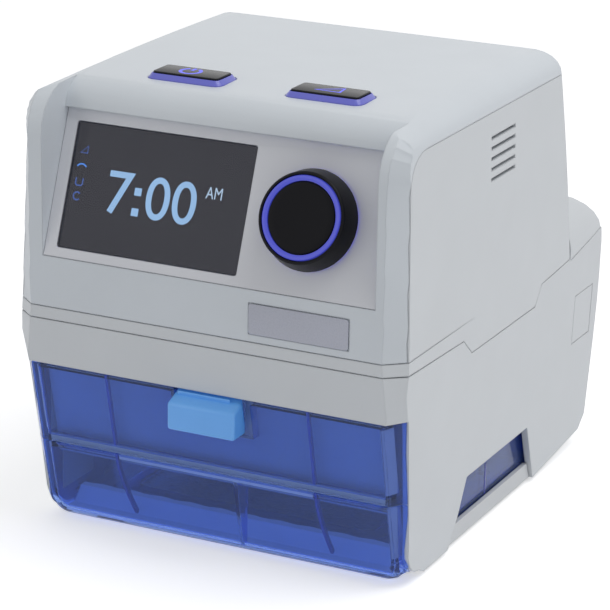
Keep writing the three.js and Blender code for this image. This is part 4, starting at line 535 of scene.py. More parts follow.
def slab(mesh: Mesh, middle: Triple, size: Triple, turn: Matrix | None = None) -> Mesh:
    """Adds a flat block to a mesh.

    Args:
        mesh: The mesh.
        middle: Middle of the block, in millimetres.
        size: Its width, depth and height, in millimetres.
        turn: How it is turned, or None when it stands square.

    Returns:
        The same mesh.
    """
    place = Matrix.Translation(Vector(middle) * MM)
    if turn is not None:
        place = place @ turn
    bmesh.ops.create_cube(mesh, size=1.0, matrix=place @ Matrix.Diagonal((*(Vector(size) * MM), 1)))
    return mesh


def thickened(mesh: Mesh, thickness_mm: float) -> Mesh:
    """Gives a sheet its thickness.

    Args:
        mesh: The sheet.
        thickness_mm: Its thickness.

    Returns:
        The same mesh, closed.
    """
    bmesh.ops.recalc_face_normals(mesh, faces=mesh.faces)
    bmesh.ops.solidify(mesh, geom=mesh.faces[:], thickness=thickness_mm * MM)
    return mesh


def prism(corners: list[Triple], way: Triple) -> Mesh:
    """Pulls a flat outline out to a solid.

    Args:
        corners: The outline's corners, in millimetres.
        way: Direction and depth of the pull, in millimetres.

    Returns:
        The solid.
    """
    mesh = bmesh.new()
    face = mesh.faces.new([mesh.verts.new(Vector(corner) * MM) for corner in corners])
    pulled = bmesh.ops.extrude_face_region(mesh, geom=[face])
    moved = [v for v in pulled["geom"] if isinstance(v, bmesh.types.BMVert)]
    bmesh.ops.translate(mesh, vec=Vector(way) * MM, verts=moved)
    bmesh.ops.triangulate(mesh, faces=mesh.faces)
    bmesh.ops.recalc_face_normals(mesh, faces=mesh.faces)
    return mesh


def spun(profile: list[Point], place: Matrix, steps: int = 96) -> Mesh:
    """Turns a profile round the local Z axis.

    Args:
        profile: Radius and height of each corner, in millimetres. It starts and ends on the axis,
            or its last corner equals its first.
        place: Where the turned form goes.
        steps: Steps round the axis.

    Returns:
        The closed form, in metres.
    """
    mesh = bmesh.new()
    closed = profile[0] == profile[-1]
    corners = profile[:-1] if closed else profile
    verts = [mesh.verts.new((radius * MM, 0.0, height * MM)) for radius, height in corners]
    edges = [mesh.edges.new(pair) for pair in zip(verts, verts[1:])]
    if closed:
        edges.append(mesh.edges.new((verts[-1], verts[0])))
    bmesh.ops.spin(
        mesh, geom=verts + edges, cent=(0, 0, 0), axis=(0, 0, 1), dvec=(0, 0, 0), angle=math.tau, steps=steps,
        use_merge=True, use_normal_flip=False, use_duplicate=False,
    )
    merged(mesh)
    bmesh.ops.transform(mesh, matrix=place, verts=mesh.verts)
    return mesh


def arc_profile(radius_at: float, height_at: float, round_mm: float, steps: int = 5) -> list[Point]:
    """Gives the corners of a quarter round from a wall to a top face.

    Args:
        radius_at: Radius of the wall.
        height_at: Height of the top face.
        round_mm: Radius of the rounding.
        steps: Steps of the quarter.

    Returns:
        Corners from the wall to the top.
    """
    turns = [math.pi / 2 * i / steps for i in range(steps + 1)]
    return [
        (radius_at - round_mm * (1 - math.cos(turn)), height_at - round_mm * (1 - math.sin(turn)))
        for turn in turns
    ]


def ring_points(middle: Point, radius: float, arc: Span, steps: int = 20) -> tuple[Point, ...]:
    """Gives points along an arc.

    Args:
        middle: Its centre.
        radius: Its radius.
        arc: First and last angle in degrees.
        steps: Number of steps.

    Returns:
        The points.
    """
    start, end = arc
    turns = [math.radians(start + (end - start) * i / steps) for i in range(steps + 1)]
    return tuple((middle[0] + radius * math.cos(turn), middle[1] + radius * math.sin(turn)) for turn in turns)


def from_curve(curve: bpy.types.Curve) -> Mesh:
    """Turns a curve or a text into a mesh, and removes it.

    Args:
        curve: The curve's data.

    Returns:
        Its mesh.
    """
    holder = placed(curve.name, curve)
    bpy.context.view_layer.update()
    made = bpy.data.meshes.new_from_object(holder.evaluated_get(bpy.context.evaluated_depsgraph_get()))
    mesh = bmesh.new()
    mesh.from_mesh(made)
    bpy.data.objects.remove(holder)
    bpy.data.curves.remove(curve)
    bpy.data.meshes.remove(made)
    return mesh


def stroke(points: tuple[Point, ...], width: float, thickness: float, closed: bool = False) -> Mesh:
    """Makes a printed line: a flat rounded bead along a path in the local XY plane.

    Args:
        points: Corners of the path, in millimetres.
        width: Width of the line.
        thickness: Its height above and below the plane.
        closed: Whether the path returns to its start.

    Returns:
        The line's mesh, in metres, at local height zero.
    """
    curve = bpy.data.curves.new("line", "CURVE")
    curve.dimensions = "3D"
    curve.bevel_depth = width / 2 * MM
    curve.bevel_resolution = 1
    curve.use_fill_caps = True
    spline = curve.splines.new("POLY")
    spline.points.add(len(points) - 1)
    for corner, (across, along) in zip(spline.points, points):
        corner.co = (across * MM, along * MM, 0.0, 1.0)
    spline.use_cyclic_u = closed
    mesh = from_curve(curve)
    bmesh.ops.scale(mesh, vec=(1, 1, thickness / width * 2), verts=mesh.verts)
    return merged(mesh)


def joined(meshes: list[Mesh]) -> Mesh:
    """Puts several meshes into one and frees them.

    Args:
        meshes: The meshes.

    Returns:
        One mesh that holds them all.
    """
    whole = bmesh.new()
    for mesh in meshes:
        data = stored("part", mesh)
        whole.from_mesh(data)
        bpy.data.meshes.remove(data)
    return whole


def lettering(body: str, height: float, width: float, thickness: float, boldness: float) -> Mesh:
    """Makes flat figures of a given size in the local XY plane, from the lower left corner.

    Args:
        body: The figures.
        height: Height of the figures in millimetres.
        width: Width of the whole in millimetres.
        thickness: Thickness in millimetres.
        boldness: How far each stroke is widened, as a share of the size.

    Returns:
        The figures' mesh, in metres.
    """
    text = bpy.data.curves.new("figures", "FONT")
    text.body = body
    text.extrude = FIGURE_DEPTH
    text.offset = boldness
    text.resolution_u = FIGURE_STEPS
    mesh = from_curve(text)
    bmesh.ops.remove_doubles(mesh, verts=mesh.verts, dist=FIGURE_MERGE)
    low = Vector([min(v.co[i] for v in mesh.verts) for i in range(3)])
    high = Vector([max(v.co[i] for v in mesh.verts) for i in range(3)])
    bmesh.ops.translate(mesh, vec=-low, verts=mesh.verts)
    size = high - low
    bmesh.ops.scale(
        mesh, vec=(width * MM / size.x, height * MM / size.y, thickness * MM / size.z), verts=mesh.verts,
    )
    return mesh


def soft_shading(degrees: float, swell_mm: float) -> bpy.types.NodeTree:
    """Makes the modifier group that merges a CAD mesh's corners and shades it smooth by angle.

    Args:
        degrees: Angle over which an edge stays sharp.
        swell_mm: How far the surface moves out, which narrows the seams between shells.

    Returns:
        The node group.
    """
    group = bpy.data.node_groups.new("soft_shading", "GeometryNodeTree")
    for way in ("INPUT", "OUTPUT"):
        group.interface.new_socket("Geometry", in_out=way, socket_type="NodeSocketGeometry")
    wiring = Wiring(group)
    start = wiring.add("NodeGroupInput")
    plain = wiring.add("GeometryNodeRemoveAttribute", {"Name": "custom_normal"})
    merge = wiring.add("GeometryNodeMergeByDistance", {"Distance": MERGE_NODE * MM})
    swell = wiring.add("ShaderNodeVectorMath", {"Scale": swell_mm * MM}, operation="SCALE")
    wiring.link(wiring.add("GeometryNodeInputNormal").outputs["Normal"], swell.inputs[0])
    moved = wiring.add("GeometryNodeSetPosition")
    wiring.link(swell.outputs["Vector"], moved.inputs["Offset"])
    faces = wiring.add("GeometryNodeSetShadeSmooth", {"Shade Smooth": True}, domain="FACE")
    sharp = wiring.add(
        "FunctionNodeCompare", {"B": math.radians(degrees)}, data_type="FLOAT", operation="GREATER_THAN",
    )
    angle = wiring.add("GeometryNodeInputMeshEdgeAngle")
    wiring.link(angle.outputs["Unsigned Angle"], sharp.inputs["A"])
    edges = wiring.add("GeometryNodeSetShadeSmooth", {"Shade Smooth": False}, domain="EDGE")
    wiring.link(sharp.outputs["Result"], edges.inputs["Selection"])
    end = wiring.add("NodeGroupOutput")
    chain = [start, plain, merge, moved, faces, edges, end]
    for before, after in zip(chain, chain[1:]):
        wiring.link(before.outputs[0], after.inputs[0])
    return group


class Paints:
    """Materials made once and shared by the pieces."""

    def __init__(self) -> None:
        """Starts with no material made."""
        self.made: dict[str, bpy.types.Material] = {}

    def get(self, finish: Finish | Clear) -> bpy.types.Material:
        """Gives the material of a finish, and makes it the first time.

        Args:
            finish: The finish.

        Returns:
            Its material.
        """
        if finish.name not in self.made:
            self.made[finish.name] = finish.build()
        return self.made[finish.name]


@dataclass
class Workshop:
    """What the sub-assemblies share: finishing a mesh into a piece, and copying CAD nodes."""

    frame: dict
    paints: Paints
    smooth_degrees: float = 32.0
    sharp_degrees: float = 30.0

    def piece(
        self, name: str, mesh: Mesh, finish: Finish | Clear, body: Body,
        replaces: tuple[str, ...] = (), slot: str | None = None,
    ) -> bpy.types.Object:
        """Makes an object of a finished mesh and puts it on its body.

        Args:
            name: Name of the piece.
            mesh: The shape in metres, in the CAD frame. It is freed.
            finish: Its finish.
            body: The body it rides on.
            replaces: CAD nodes that it stands for.
            slot: The record's material slot; it is not used.

        Returns:
            The new object.
        """
        limit = math.radians(self.smooth_degrees)
        for edge in mesh.edges:
            edge.smooth = len(edge.link_faces) == 2 and edge.calc_face_angle(0.0) < limit
        for face in mesh.faces:
            face.smooth = True
        piece = placed(name, stored(name, mesh))
        piece.data.materials.append(self.paints.get(finish))
        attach(piece, body.value)
        if replaces:
            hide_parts(*replaces)
        LOG.info("piece %s on %s, %d faces", name, body.value, len(piece.data.polygons))
        return piece

    def copy_of(self, node: str) -> Mesh:
        """Copies a CAD node's mesh, merges its loose corners and joins its flat triangles.

        Args:
            node: The CAD node's name.

        Returns:
            The merged copy, in metres.
        """
        mesh = bmesh.new()
        mesh.from_mesh(self.frame["nodes"][node].data)
        bmesh.ops.remove_doubles(mesh, verts=mesh.verts, dist=MERGE_COPY * MM)
        bmesh.ops.dissolve_limit(
            mesh, angle_limit=math.radians(FLAT_DEGREES), verts=mesh.verts, edges=mesh.edges,
            delimit={"NORMAL"},
        )
        return mesh

    def soft_copy(
        self, node: str, radius_mm: float, segments: int = 3, before_y: float = math.inf,
    ) -> Mesh:
        """Copies a CAD node and rounds its sharp edges.

        Args:
            node: The CAD node's name.
            radius_mm: Width of the rounding.
            segments: Steps round each edge.
            before_y: Only edges with an end nearer to the front than this are rounded.

        Returns:
            The rounded copy.
        """
        mesh = self.copy_of(node)
        limit = math.radians(self.sharp_degrees)
        sharp = [
            e for e in mesh.edges
            if len(e.link_faces) == 2 and e.calc_face_angle(0.0) > limit
            and min(v.co.y for v in e.verts) < before_y * MM
        ]
        return soften(mesh, sharp, radius_mm, segments)

    def lay_on(self, mesh: Mesh, node: str, way: Vector, start: float) -> None:
        """Lays a flat print or rib on a CAD node's surface.

        Args:
            mesh: The print, flat at zero along the way's axis.
            node: The CAD node that carries it.
            way: The way in which it is pressed on the node.
            start: Place along the axis from which it comes, in millimetres.
        """
        copy = self.copy_of(node)
        bmesh.ops.triangulate(copy, faces=copy.faces)
        tree = BVHTree.FromBMesh(copy)
        copy.free()
        axis = max(range(3), key=lambda i: abs(way[i]))
        for vert in mesh.verts:
            place = vert.co.copy()
            place[axis] = start * MM
            spot = tree.ray_cast(place, way)[0]
            if spot is not None:
                vert.co[axis] += spot[axis]


@dataclass
class PanelPlane:
    """The tilted plane of the control panel: across, up the slope, and out of it."""

    foot_y: float = -109.4
    foot_height: float = 115.6
    tilt_degrees: float = 20.6

    def matrix(self, across: float, up: float, out: float) -> Matrix:
        """Gives the place of a piece on the panel.

        Args:
            across: Place along X, in millimetres.
            up: Place up the slope.
            out: Place out of the panel.

        Returns:
            The matrix from local X, Y and Z to across, up and out.
        """
        tilt = math.radians(self.tilt_degrees)
        rise = Vector((0, math.sin(tilt), math.cos(tilt)))
        front = Vector((0, -math.cos(tilt), math.sin(tilt)))
        spot = Vector((across, self.foot_y, self.foot_height)) + rise * up + front * out
        turn = Matrix((Vector((1, 0, 0)), rise, front)).transposed().to_4x4()
        return Matrix.Translation(spot * MM) @ turn


@dataclass
class Display:
    """What the display shows behind its smoked lens: a dark film with a painted glow, figures and status
    marks.
    """

    shop: Workshop
    panel: PanelPlane
    figures_out: float = -1.26
    line_thickness: float = 0.03
    hour_across: float = -46.6
    figures_low: float = 19.8
    figures_height: float = 16.4
    seven_width: float = 10.9
    colon_across: float = -35.0
    colon_side: float = 3.0
    colon_heights: Span = (20.2, 28.0)
    minutes_across: float = -29.7
    minutes_width: float = 21.4
    boldness: float = 0.004
    mark_across: float = -5.0
    mark_low: float = 31.0
    mark_height: float = 4.5
    mark_width: float = 6.8
    icon_across: float = -59.4
    icon_width: float = 0.6
    loop_up: float = 24.5
    loop_radius: float = 1.5
    loop_span: Span = (40.0, 320.0)
    cup_up: float = 30.2
    cup_line: tuple[Point, ...] = (
        (-1.5, 1.3), (-1.5, -1.0), (-0.9, -1.6), (0.9, -1.6), (1.5, -1.0), (1.5, 1.3),
    )
    arc_up: float = 35.9
    arc_middle: Point = (0.0, -1.4)
    arc_radius: float = 2.4
    arc_span: Span = (35.0, 145.0)
    arc_steps: int = 12
    slope_up: float = 42.4
    slope_line: tuple[Point, ...] = ((-1.5, -1.2), (1.5, 1.6), (1.5, -1.2))
    film_out: float = -1.36
    film_thickness: float = 0.08
    film_edge: tuple[float, float, float, float] = (-63.2, 13.2, 4.5, 52.7)

    def on_panel(self, mesh: Mesh, across: float, up: float) -> Mesh:
        """Moves a mesh from the local plane to its place close behind the lens."""
        bmesh.ops.transform(mesh, matrix=self.panel.matrix(across, up, self.figures_out), verts=mesh.verts)
        return mesh

    def clock(self) -> None:
        """Builds the clock figures and the small morning mark."""
        seven = lettering("7", self.figures_height, self.seven_width, self.line_thickness, self.boldness)
        minutes = lettering("00", self.figures_height, self.minutes_width, self.line_thickness, self.boldness)
        figures = [
            self.on_panel(seven, self.hour_across, self.figures_low),
            self.on_panel(minutes, self.minutes_across, self.figures_low),
        ]
        side = self.colon_side
        for up in self.colon_heights:
            dot = slab(bmesh.new(), (0, 0, 0), (side, side, self.line_thickness))
            figures.append(self.on_panel(dot, self.colon_across + side / 2, up + side / 2))
        self.shop.piece("clock_figures", joined(figures), DIGIT_LIGHT, Body.UNIT, slot="screen")
        mark = lettering("AM", self.mark_height, self.mark_width, self.line_thickness, 0.0)
        self.on_panel(mark, self.mark_across, self.mark_low)
        self.shop.piece("morning_mark", mark, MARK_LIGHT, Body.UNIT, slot="screen")

    def icons(self) -> None:
        """Builds the column of plain status marks: a loop, a cup, an arc and a slope."""
        width = self.icon_width
        flat = self.line_thickness / 2
        loop = stroke(ring_points((0.0, 0.0), self.loop_radius, self.loop_span), width, flat)
        cup = stroke(self.cup_line, width, flat)
        slope = stroke(self.slope_line, width, flat, closed=True)
        bow = ring_points(self.arc_middle, self.arc_radius, self.arc_span, self.arc_steps)
        arc = stroke(bow, width, flat)
        dim = [
            self.on_panel(mesh, self.icon_across, up)
            for mesh, up in ((loop, self.loop_up), (cup, self.cup_up), (slope, self.slope_up))
        ]
        self.shop.piece("status_marks", joined(dim), ICON_DIM, Body.UNIT, slot="screen")
        self.on_panel(arc, self.icon_across, self.arc_up)
        self.shop.piece("status_mark_lit", arc, ICON_BRIGHT, Body.UNIT, slot="screen")

    def film(self) -> None:
        """Builds the dark film behind the lens, on which the figures stand; its glow is mostly painted light.
        """
        left, right, low, high = self.film_edge
        mesh = bmesh.new()
        bmesh.ops.create_grid(mesh, x_segments=1, y_segments=1, size=0.5)
        bmesh.ops.scale(mesh, vec=((right - left) * MM, (high - low) * MM, 1), verts=mesh.verts)
        thickened(mesh, self.film_thickness)
        place = self.panel.matrix((left + right) / 2, (low + high) / 2, self.film_out)
        bmesh.ops.transform(mesh, matrix=place, verts=mesh.verts)
        self.shop.piece("display_film", mesh, DISPLAY_FILM, Body.UNIT, slot="black_plastic")

    def build(self) -> None:
        """Builds all that the display shows."""
        self.clock()
        self.icons()
        self.film()


@dataclass
class Knob:
    """The round knob: a tapered skirt, a lit ring in its face, a black cap, and light behind it."""

    shop: Workshop
    panel: PanelPlane
    across: float = 40.4
    up: float = 28.737
    running: float = 1.3
    base_radius: float = 19.2
    rim_radius: float = 17.3
    stand: float = 10.2
    rim_round: float = 1.1
    foot_round: float = 0.5
    foot_shares: tuple[Point, Point] = ((0.15, 0.5), (0.1, 1.0))
    ring_outer: float = 15.8
    ring_inner: float = 13.7
    step: float = 0.5
    wall: float = 1.6
    gap: float = 0.3
    ring_crown: float = 0.25
    cap_round: float = 0.6
    cap_dish: tuple[Point, ...] = ((0.8, 0.05), (0.4, 0.16), (0.0, 0.2))
    socket_radius: float = 4.9
    bore_radius: float = 3.3
    guide_inset: float = 1.3
    guide_width: float = 1.6
    guide_low: float = 0.05
    guide_high: float = 0.55

    def turned(
        self, name: str, profile: list[Point], finish: Finish, body: Body,
        replaces: tuple[str, ...], slot: str,
    ) -> None:
        """Turns a profile, of radius and height over the panel, round the knob's axis to a piece."""
        place = self.panel.matrix(self.across, self.up, 0)
        self.shop.piece(name, spun(profile, place), finish, body, replaces, slot)

    def skirt(self) -> None:
        """Turns the skirt with its rounded rim and foot."""
        seat = self.stand - self.wall
        foot = self.running
        curl = self.foot_round
        profile = [
            (self.ring_outer + self.gap, seat),
            (self.bore_radius, seat),
            (self.bore_radius, foot),
            (self.socket_radius, foot),
            (self.socket_radius, seat - self.wall),
            (self.rim_radius - self.wall * 2, seat - self.wall),
            (self.base_radius - self.wall, foot + curl),
            (self.base_radius - self.wall + curl, foot),
            (self.base_radius - curl, foot),
            *[(self.base_radius - curl * inward, foot + curl * rise) for inward, rise in self.foot_shares],
            *arc_profile(self.rim_radius, self.stand, self.rim_round),
            (self.ring_outer + self.gap, self.stand),
            (self.ring_outer + self.gap, seat),
        ]
        self.turned("knob_body", profile, BLACK_PLASTIC, Body.KNOB, ("knob_skirt",), "black_plastic")

    def light_ring(self) -> None:
        """Turns the lit ring with a low crown."""
        seat = self.stand - self.wall + self.gap
        top = self.stand - self.step / 2
        crown = self.ring_crown
        profile = [
            (self.ring_inner, seat),
            (self.ring_outer, seat),
            (self.ring_outer, top - crown),
            (self.ring_outer - crown, top),
            ((self.ring_inner + self.ring_outer) / 2, top + crown / 2),
            (self.ring_inner + crown, top - crown / 2),
            (self.ring_inner, top - crown),
            (self.ring_inner, seat),
        ]
        self.turned("knob_ring", profile, RING_LIGHT, Body.KNOB, ("knob_light_ring",), "ring_light")

    def cap(self) -> None:
        """Turns the black cap: a soft edge and a slightly dished face."""
        seat = self.stand - self.wall + self.gap
        radius = self.ring_inner - self.gap
        top = self.stand - self.step / 2
        profile = [
            (0, seat),
            (radius, seat),
            *arc_profile(radius, top, self.cap_round),
            *[(radius * share, top - drop) for share, drop in self.cap_dish],
        ]
        self.turned("knob_face", profile, KNOB_FACE, Body.KNOB, ("knob_cap",), "black_plastic")

    def back_light(self) -> None:
        """Turns the thin light guide on the panel behind the knob, which lights the panel round it."""
        outer = self.base_radius - self.guide_inset
        inside = outer - self.guide_width
        low, high = self.guide_low, self.guide_high
        profile = [(inside, low), (outer, low), (outer, high), (inside, high), (inside, low)]
        self.turned("knob_light_guide", profile, GLOW_RING, Body.UNIT, (), "ring_light")

    def build(self) -> None:
        """Builds the knob's pieces."""
        self.skirt()
        self.light_ring()
        self.cap()
        self.back_light()


@dataclass
class PushButton:
    """A push button on the top: a lit clear skirt, a black cap and its mark."""

    shop: Workshop
    title: str
    body: Body
    mark: tuple[Line, ...]
    round_mm: float = 0.45
    cap_round_share: float = 0.6
    line_width: float = 1.4
    line_thickness: float = 0.08

    def build(self) -> None:
        """Builds skirt, cap and mark from the CAD button's own place."""
        lens = f"{self.title}_lens"
        cap = f"{self.title}_cap"
        skirt = self.shop.soft_copy(lens, self.round_mm)
        self.shop.piece(f"{self.title}_skirt", skirt, BLUE_SKIRT, self.body, (lens,), "blue_skirt")
        face = self.shop.soft_copy(cap, self.round_mm * self.cap_round_share)
        self.shop.piece(f"{self.title}_face", face, CAP_BLACK, self.body, (cap,), "black_plastic")
        low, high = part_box(cap)
        width, thickness = self.line_width, self.line_thickness
        mark = joined([stroke(points, width, thickness, closed) for points, closed in self.mark])
        middle = Vector(((low.x + high.x) / 2, (low.y + high.y) / 2, high.z))
        bmesh.ops.translate(mark, vec=middle, verts=mark.verts)
        self.shop.piece(f"{self.title}_mark", mark, PRINT_BLUE, self.body, slot="ring_light")


@dataclass
class HeaterPrint:
    """The heater mark printed on the top cover: three wavy strokes over a bar."""

    shop: Workshop
    across: float = 1.7
    near_y: float = -71.4
    far_y: float = -61.1
    foot_share: float = 0.3
    strokes_shift: float = -0.3
    half_width: float = 4.5
    wave: float = 0.45
    lean: float = 1.5
    line_width: float = 1.2
    bar_share: float = 1.4
    lift: float = 0.06
    strokes: int = 3
    steps: int = 16
    above: float = 300.0

    def wavy(self, across: float) -> tuple[Point, ...]:
        """Gives one wavy stroke away from the front.

        Args:
            across: Its middle along X, in millimetres.

        Returns:
            Its points.
        """
        start = self.near_y + (self.far_y - self.near_y) * self.foot_share
        shares = [i / self.steps for i in range(self.steps + 1)]
        return tuple(
            (
                across + self.lean * (0.5 - share) - self.wave * math.sin(math.tau * share),
                start + (self.far_y - start) * share,
            )
            for share in shares
        )

    def build(self) -> None:
        """Builds the strokes and lays them on the cover."""
        gap = self.half_width * 2 / self.strokes
        first = self.across + self.strokes_shift
        starts = [first + gap * (i - (self.strokes - 1) / 2) for i in range(self.strokes)]
        lines = [stroke(self.wavy(start), self.line_width, self.lift) for start in starts]
        bar = ((self.across - self.half_width, self.near_y), (self.across + self.half_width, self.near_y))
        lines.append(stroke(bar, self.line_width * self.bar_share, self.lift))
        mesh = joined(lines)
        self.shop.lay_on(mesh, "top_cover", Vector((0, 0, -1)), self.above)
        self.shop.piece("heater_print", mesh, PRINT_GREY, Body.UNIT, slot="dark_metal")


@dataclass
class FrontPlate:
    """The bare satin plate on the front, with a softened edge."""

    shop: Workshop
    round_mm: float = 0.3

    def build(self) -> None:
        """Builds the plate from the CAD plate's own place."""
        mesh = self.shop.soft_copy("nameplate", self.round_mm)
        self.shop.piece("front_plate", mesh, BARE_PLATE, Body.UNIT, ("nameplate",), "bare_plate")


@dataclass
class Lean:
    """The leaning front of the tank: its top and foot as Y and height, and its wall."""

    top: Point = (-108.7, 71.3)
    foot: Point = (-94.8, 9.7)
    wall: float = 2.3

    def at(self, height: float) -> float:
        """Gives the front's place along Y at a height."""
        share = (height - self.foot[1]) / (self.top[1] - self.foot[1])
        return self.foot[0] + (self.top[0] - self.foot[0]) * share

    def turn(self) -> Matrix:
        """Gives the turn from upright to the lean."""
        return Matrix.Rotation(math.atan2(self.foot[0] - self.top[0], self.top[1] - self.foot[1]), 4, "X")


@dataclass
class TankInside:
    """What shows through the tank: plates, fins, bands, liners, the floor's step and side ribs."""

    shop: Workshop
    front: Lean
    baffle_half: float = 72.0
    baffle_low: float = 30.2
    baffle_high: float = 69.6
    baffle_notch: Triple = (-8.2, 12.9, 56.0)
    baffle_behind: float = 6.6
    baffle_thickness: float = 1.0
    fin_across: Span = (-43.3, 43.3)
    fin_thickness: float = 1.1
    lid_fin_heights: Span = (39.2, 70.4)
    lid_fin_depth: float = 1.6
    tub_fin_path: tuple[Point, ...] = (
        (-98.2, 35.6), (-97.0, 30.0), (-94.3, 24.0), (-91.6, 19.0), (-88.6, 14.0), (-85.0, 8.6), (-82.0, 4.3),
    )
    tub_fin_depth: float = 2.0
    seal_band: Triple = (72.6, 36.1, 39.4)
    rim_band: Triple = (42.2, 33.2, 36.0)
    band_thickness: float = 0.5
    liner_x: float = 72.8
    liner_thickness: float = 0.3
    liners: tuple[tuple[Span, Span], ...] = (
        ((-98.0, -66.0), (40.2, 69.0)), ((-89.6, -66.0), (12.4, 35.4)),
    )
    corner_at: Point = (74.7, 4.7)
    corner_width: float = 4.6
    corner_turn: float = 50.0
    tray_half: float = 72.0
    tray_path: tuple[Point, ...] = ((-87.6, 4.3), (-82.4, 4.3), (-77.2, 9.75), (-73.4, 9.75))
    tray_columns: int = 120
    tray_thickness: float = 0.5
    tray_wave: float = 0.45
    tray_waves: float = 34.0
    rib_y: float = -8.0
    rib_heights: Span = (9.5, 22.5)
    rib_width: float = 1.5
    rib_thickness: float = 0.3
    rib_steps: int = 4
    rib_from: float = 80.0

    def piece(self, name: str, mesh: Mesh, finish: Finish, slot: str = "blue_tank") -> None:
        """Makes a mesh a piece on the tank."""
        self.shop.piece(name, mesh, finish, Body.TANK, slot=slot)

    def baffle(self) -> None:
        """Builds the pale inner plate behind the lid's front, cut out round the latch."""
        left, right, notch = self.baffle_notch
        low, high, half = self.baffle_low, self.baffle_high, self.baffle_half
        outline = [
            (-half, low), (half, low), (half, high), (right, high), (right, notch), (left, notch),
            (left, high), (-half, high),
        ]
        corners = [(x, self.front.at(z) + self.baffle_behind, z) for x, z in outline]
        self.piece("lid_baffle", prism(corners, (0, self.baffle_thickness, 0)), BAFFLE_BLUE)

    def fins(self) -> None:
        """Builds the straight fins behind the lid's front and the curved ones behind the tub's."""
        low, high = self.lid_fin_heights
        near = [self.front.at(z) + self.front.wall for z in (low, high)]
        upper = [(near[0], low), (near[1], high), (near[1] + self.lid_fin_depth, high)]
        upper.append((near[0] + self.lid_fin_depth, low))
        path = self.tub_fin_path
        lower = [*path, *[(y + self.tub_fin_depth, z) for y, z in reversed(path)]]
        fins = []
        for across in self.fin_across:
            start = across - self.fin_thickness / 2
            for outline in (upper, lower):
                fins.append(prism([(start, y, z) for y, z in outline], (self.fin_thickness, 0, 0)))
        self.piece("tank_fins", joined(fins), FIN_BLUE)

    def bands(self) -> None:
        """Builds the seal's band behind the split, and the tub's pale rim under it."""
        thick = self.band_thickness
        bands = (("seal_band", self.seal_band, SEAL_GREY), ("rim_band", self.rim_band, RIM_PALE))
        for name, (half, low, high), finish in bands:
            middle = (low + high) / 2
            place = (0, self.front.at(middle) + self.front.wall + thick, middle)
            mesh = slab(bmesh.new(), place, (half * 2, thick, high - low), self.front.turn())
            self.piece(name, mesh, finish, "clear_rubber")

    def side_liners(self) -> None:
        """Builds the thin pale liners inside the side walls, near the front."""
        mesh = bmesh.new()
        for sign in (-1, 1):
            for (near, far), (low, high) in self.liners:
                place = (sign * self.liner_x, (near + far) / 2, (low + high) / 2)
                slab(mesh, place, (self.liner_thickness, far - near, high - low))
        self.piece("side_liners", mesh, BAFFLE_BLUE)

    def corner_liners(self) -> None:
        """Builds the thin liners behind the slanted corners of the front."""
        mesh = bmesh.new()
        across, behind = self.corner_at
        for sign in (-1, 1):
            turn = self.front.turn() @ Matrix.Rotation(math.radians(sign * self.corner_turn), 4, "Z")
            for _, (low, high) in self.liners:
                middle = (low + high) / 2
                place = (sign * across, self.front.at(middle) + behind, middle)
                slab(mesh, place, (self.corner_width, self.liner_thickness, high - low), turn)
        self.piece("corner_liners", mesh, CORNER_BLUE)

    def tray(self) -> None:
        """Builds the pale step of the tub's floor before the metal plate, with its wavy rear edge; its glow
        is painted light from the table below.
        """
        mesh = bmesh.new()
        rows = len(self.tray_path) - 1
        bmesh.ops.create_grid(mesh, x_segments=self.tray_columns, y_segments=rows, size=0.5)
        bmesh.ops.scale(mesh, vec=(self.tray_half * 2 * MM, 1, 1), verts=mesh.verts)
        for vert in mesh.verts:
            row = round((vert.co.y + 0.5) * rows)
            place_y, height = self.tray_path[row]
            ripple = self.tray_wave * math.sin(vert.co.x / (self.tray_half * MM) * self.tray_waves)
            vert.co.y = (place_y + (ripple if row == rows else 0)) * MM
            vert.co.z = height * MM
        self.piece("tub_floor_step", thickened(mesh, self.tray_thickness), FLOOR_BLUE_PAINTED_GLOW)

    def side_ribs(self) -> None:
        """Builds the upright rib on each side wall, which shows in the windows of the base."""
        low, high = self.rib_heights
        steps = range(self.rib_steps + 1)
        path = tuple((low + (high - low) * i / self.rib_steps, 0.0) for i in steps)
        upright = Matrix.Rotation(-math.pi / 2, 3, "Y")
        ribs = []
        for sign in (-1, 1):
            line = stroke(path, self.rib_width, self.rib_thickness)
            bmesh.ops.rotate(line, cent=(0, 0, 0), matrix=upright, verts=line.verts)
            bmesh.ops.translate(line, vec=(0, self.rib_y * MM, 0), verts=line.verts)
            self.shop.lay_on(line, "tank_tub", Vector((-sign, 0, 0)), self.rib_from * sign)
            ribs.append(line)
        self.piece("tub_side_ribs", joined(ribs), FIN_BLUE)

    def build(self) -> None:
        """Builds the pieces that show through the tank."""
        self.baffle()
        self.fins()
        self.bands()
        self.side_liners()
        self.corner_liners()
        self.tray()
        self.side_ribs()


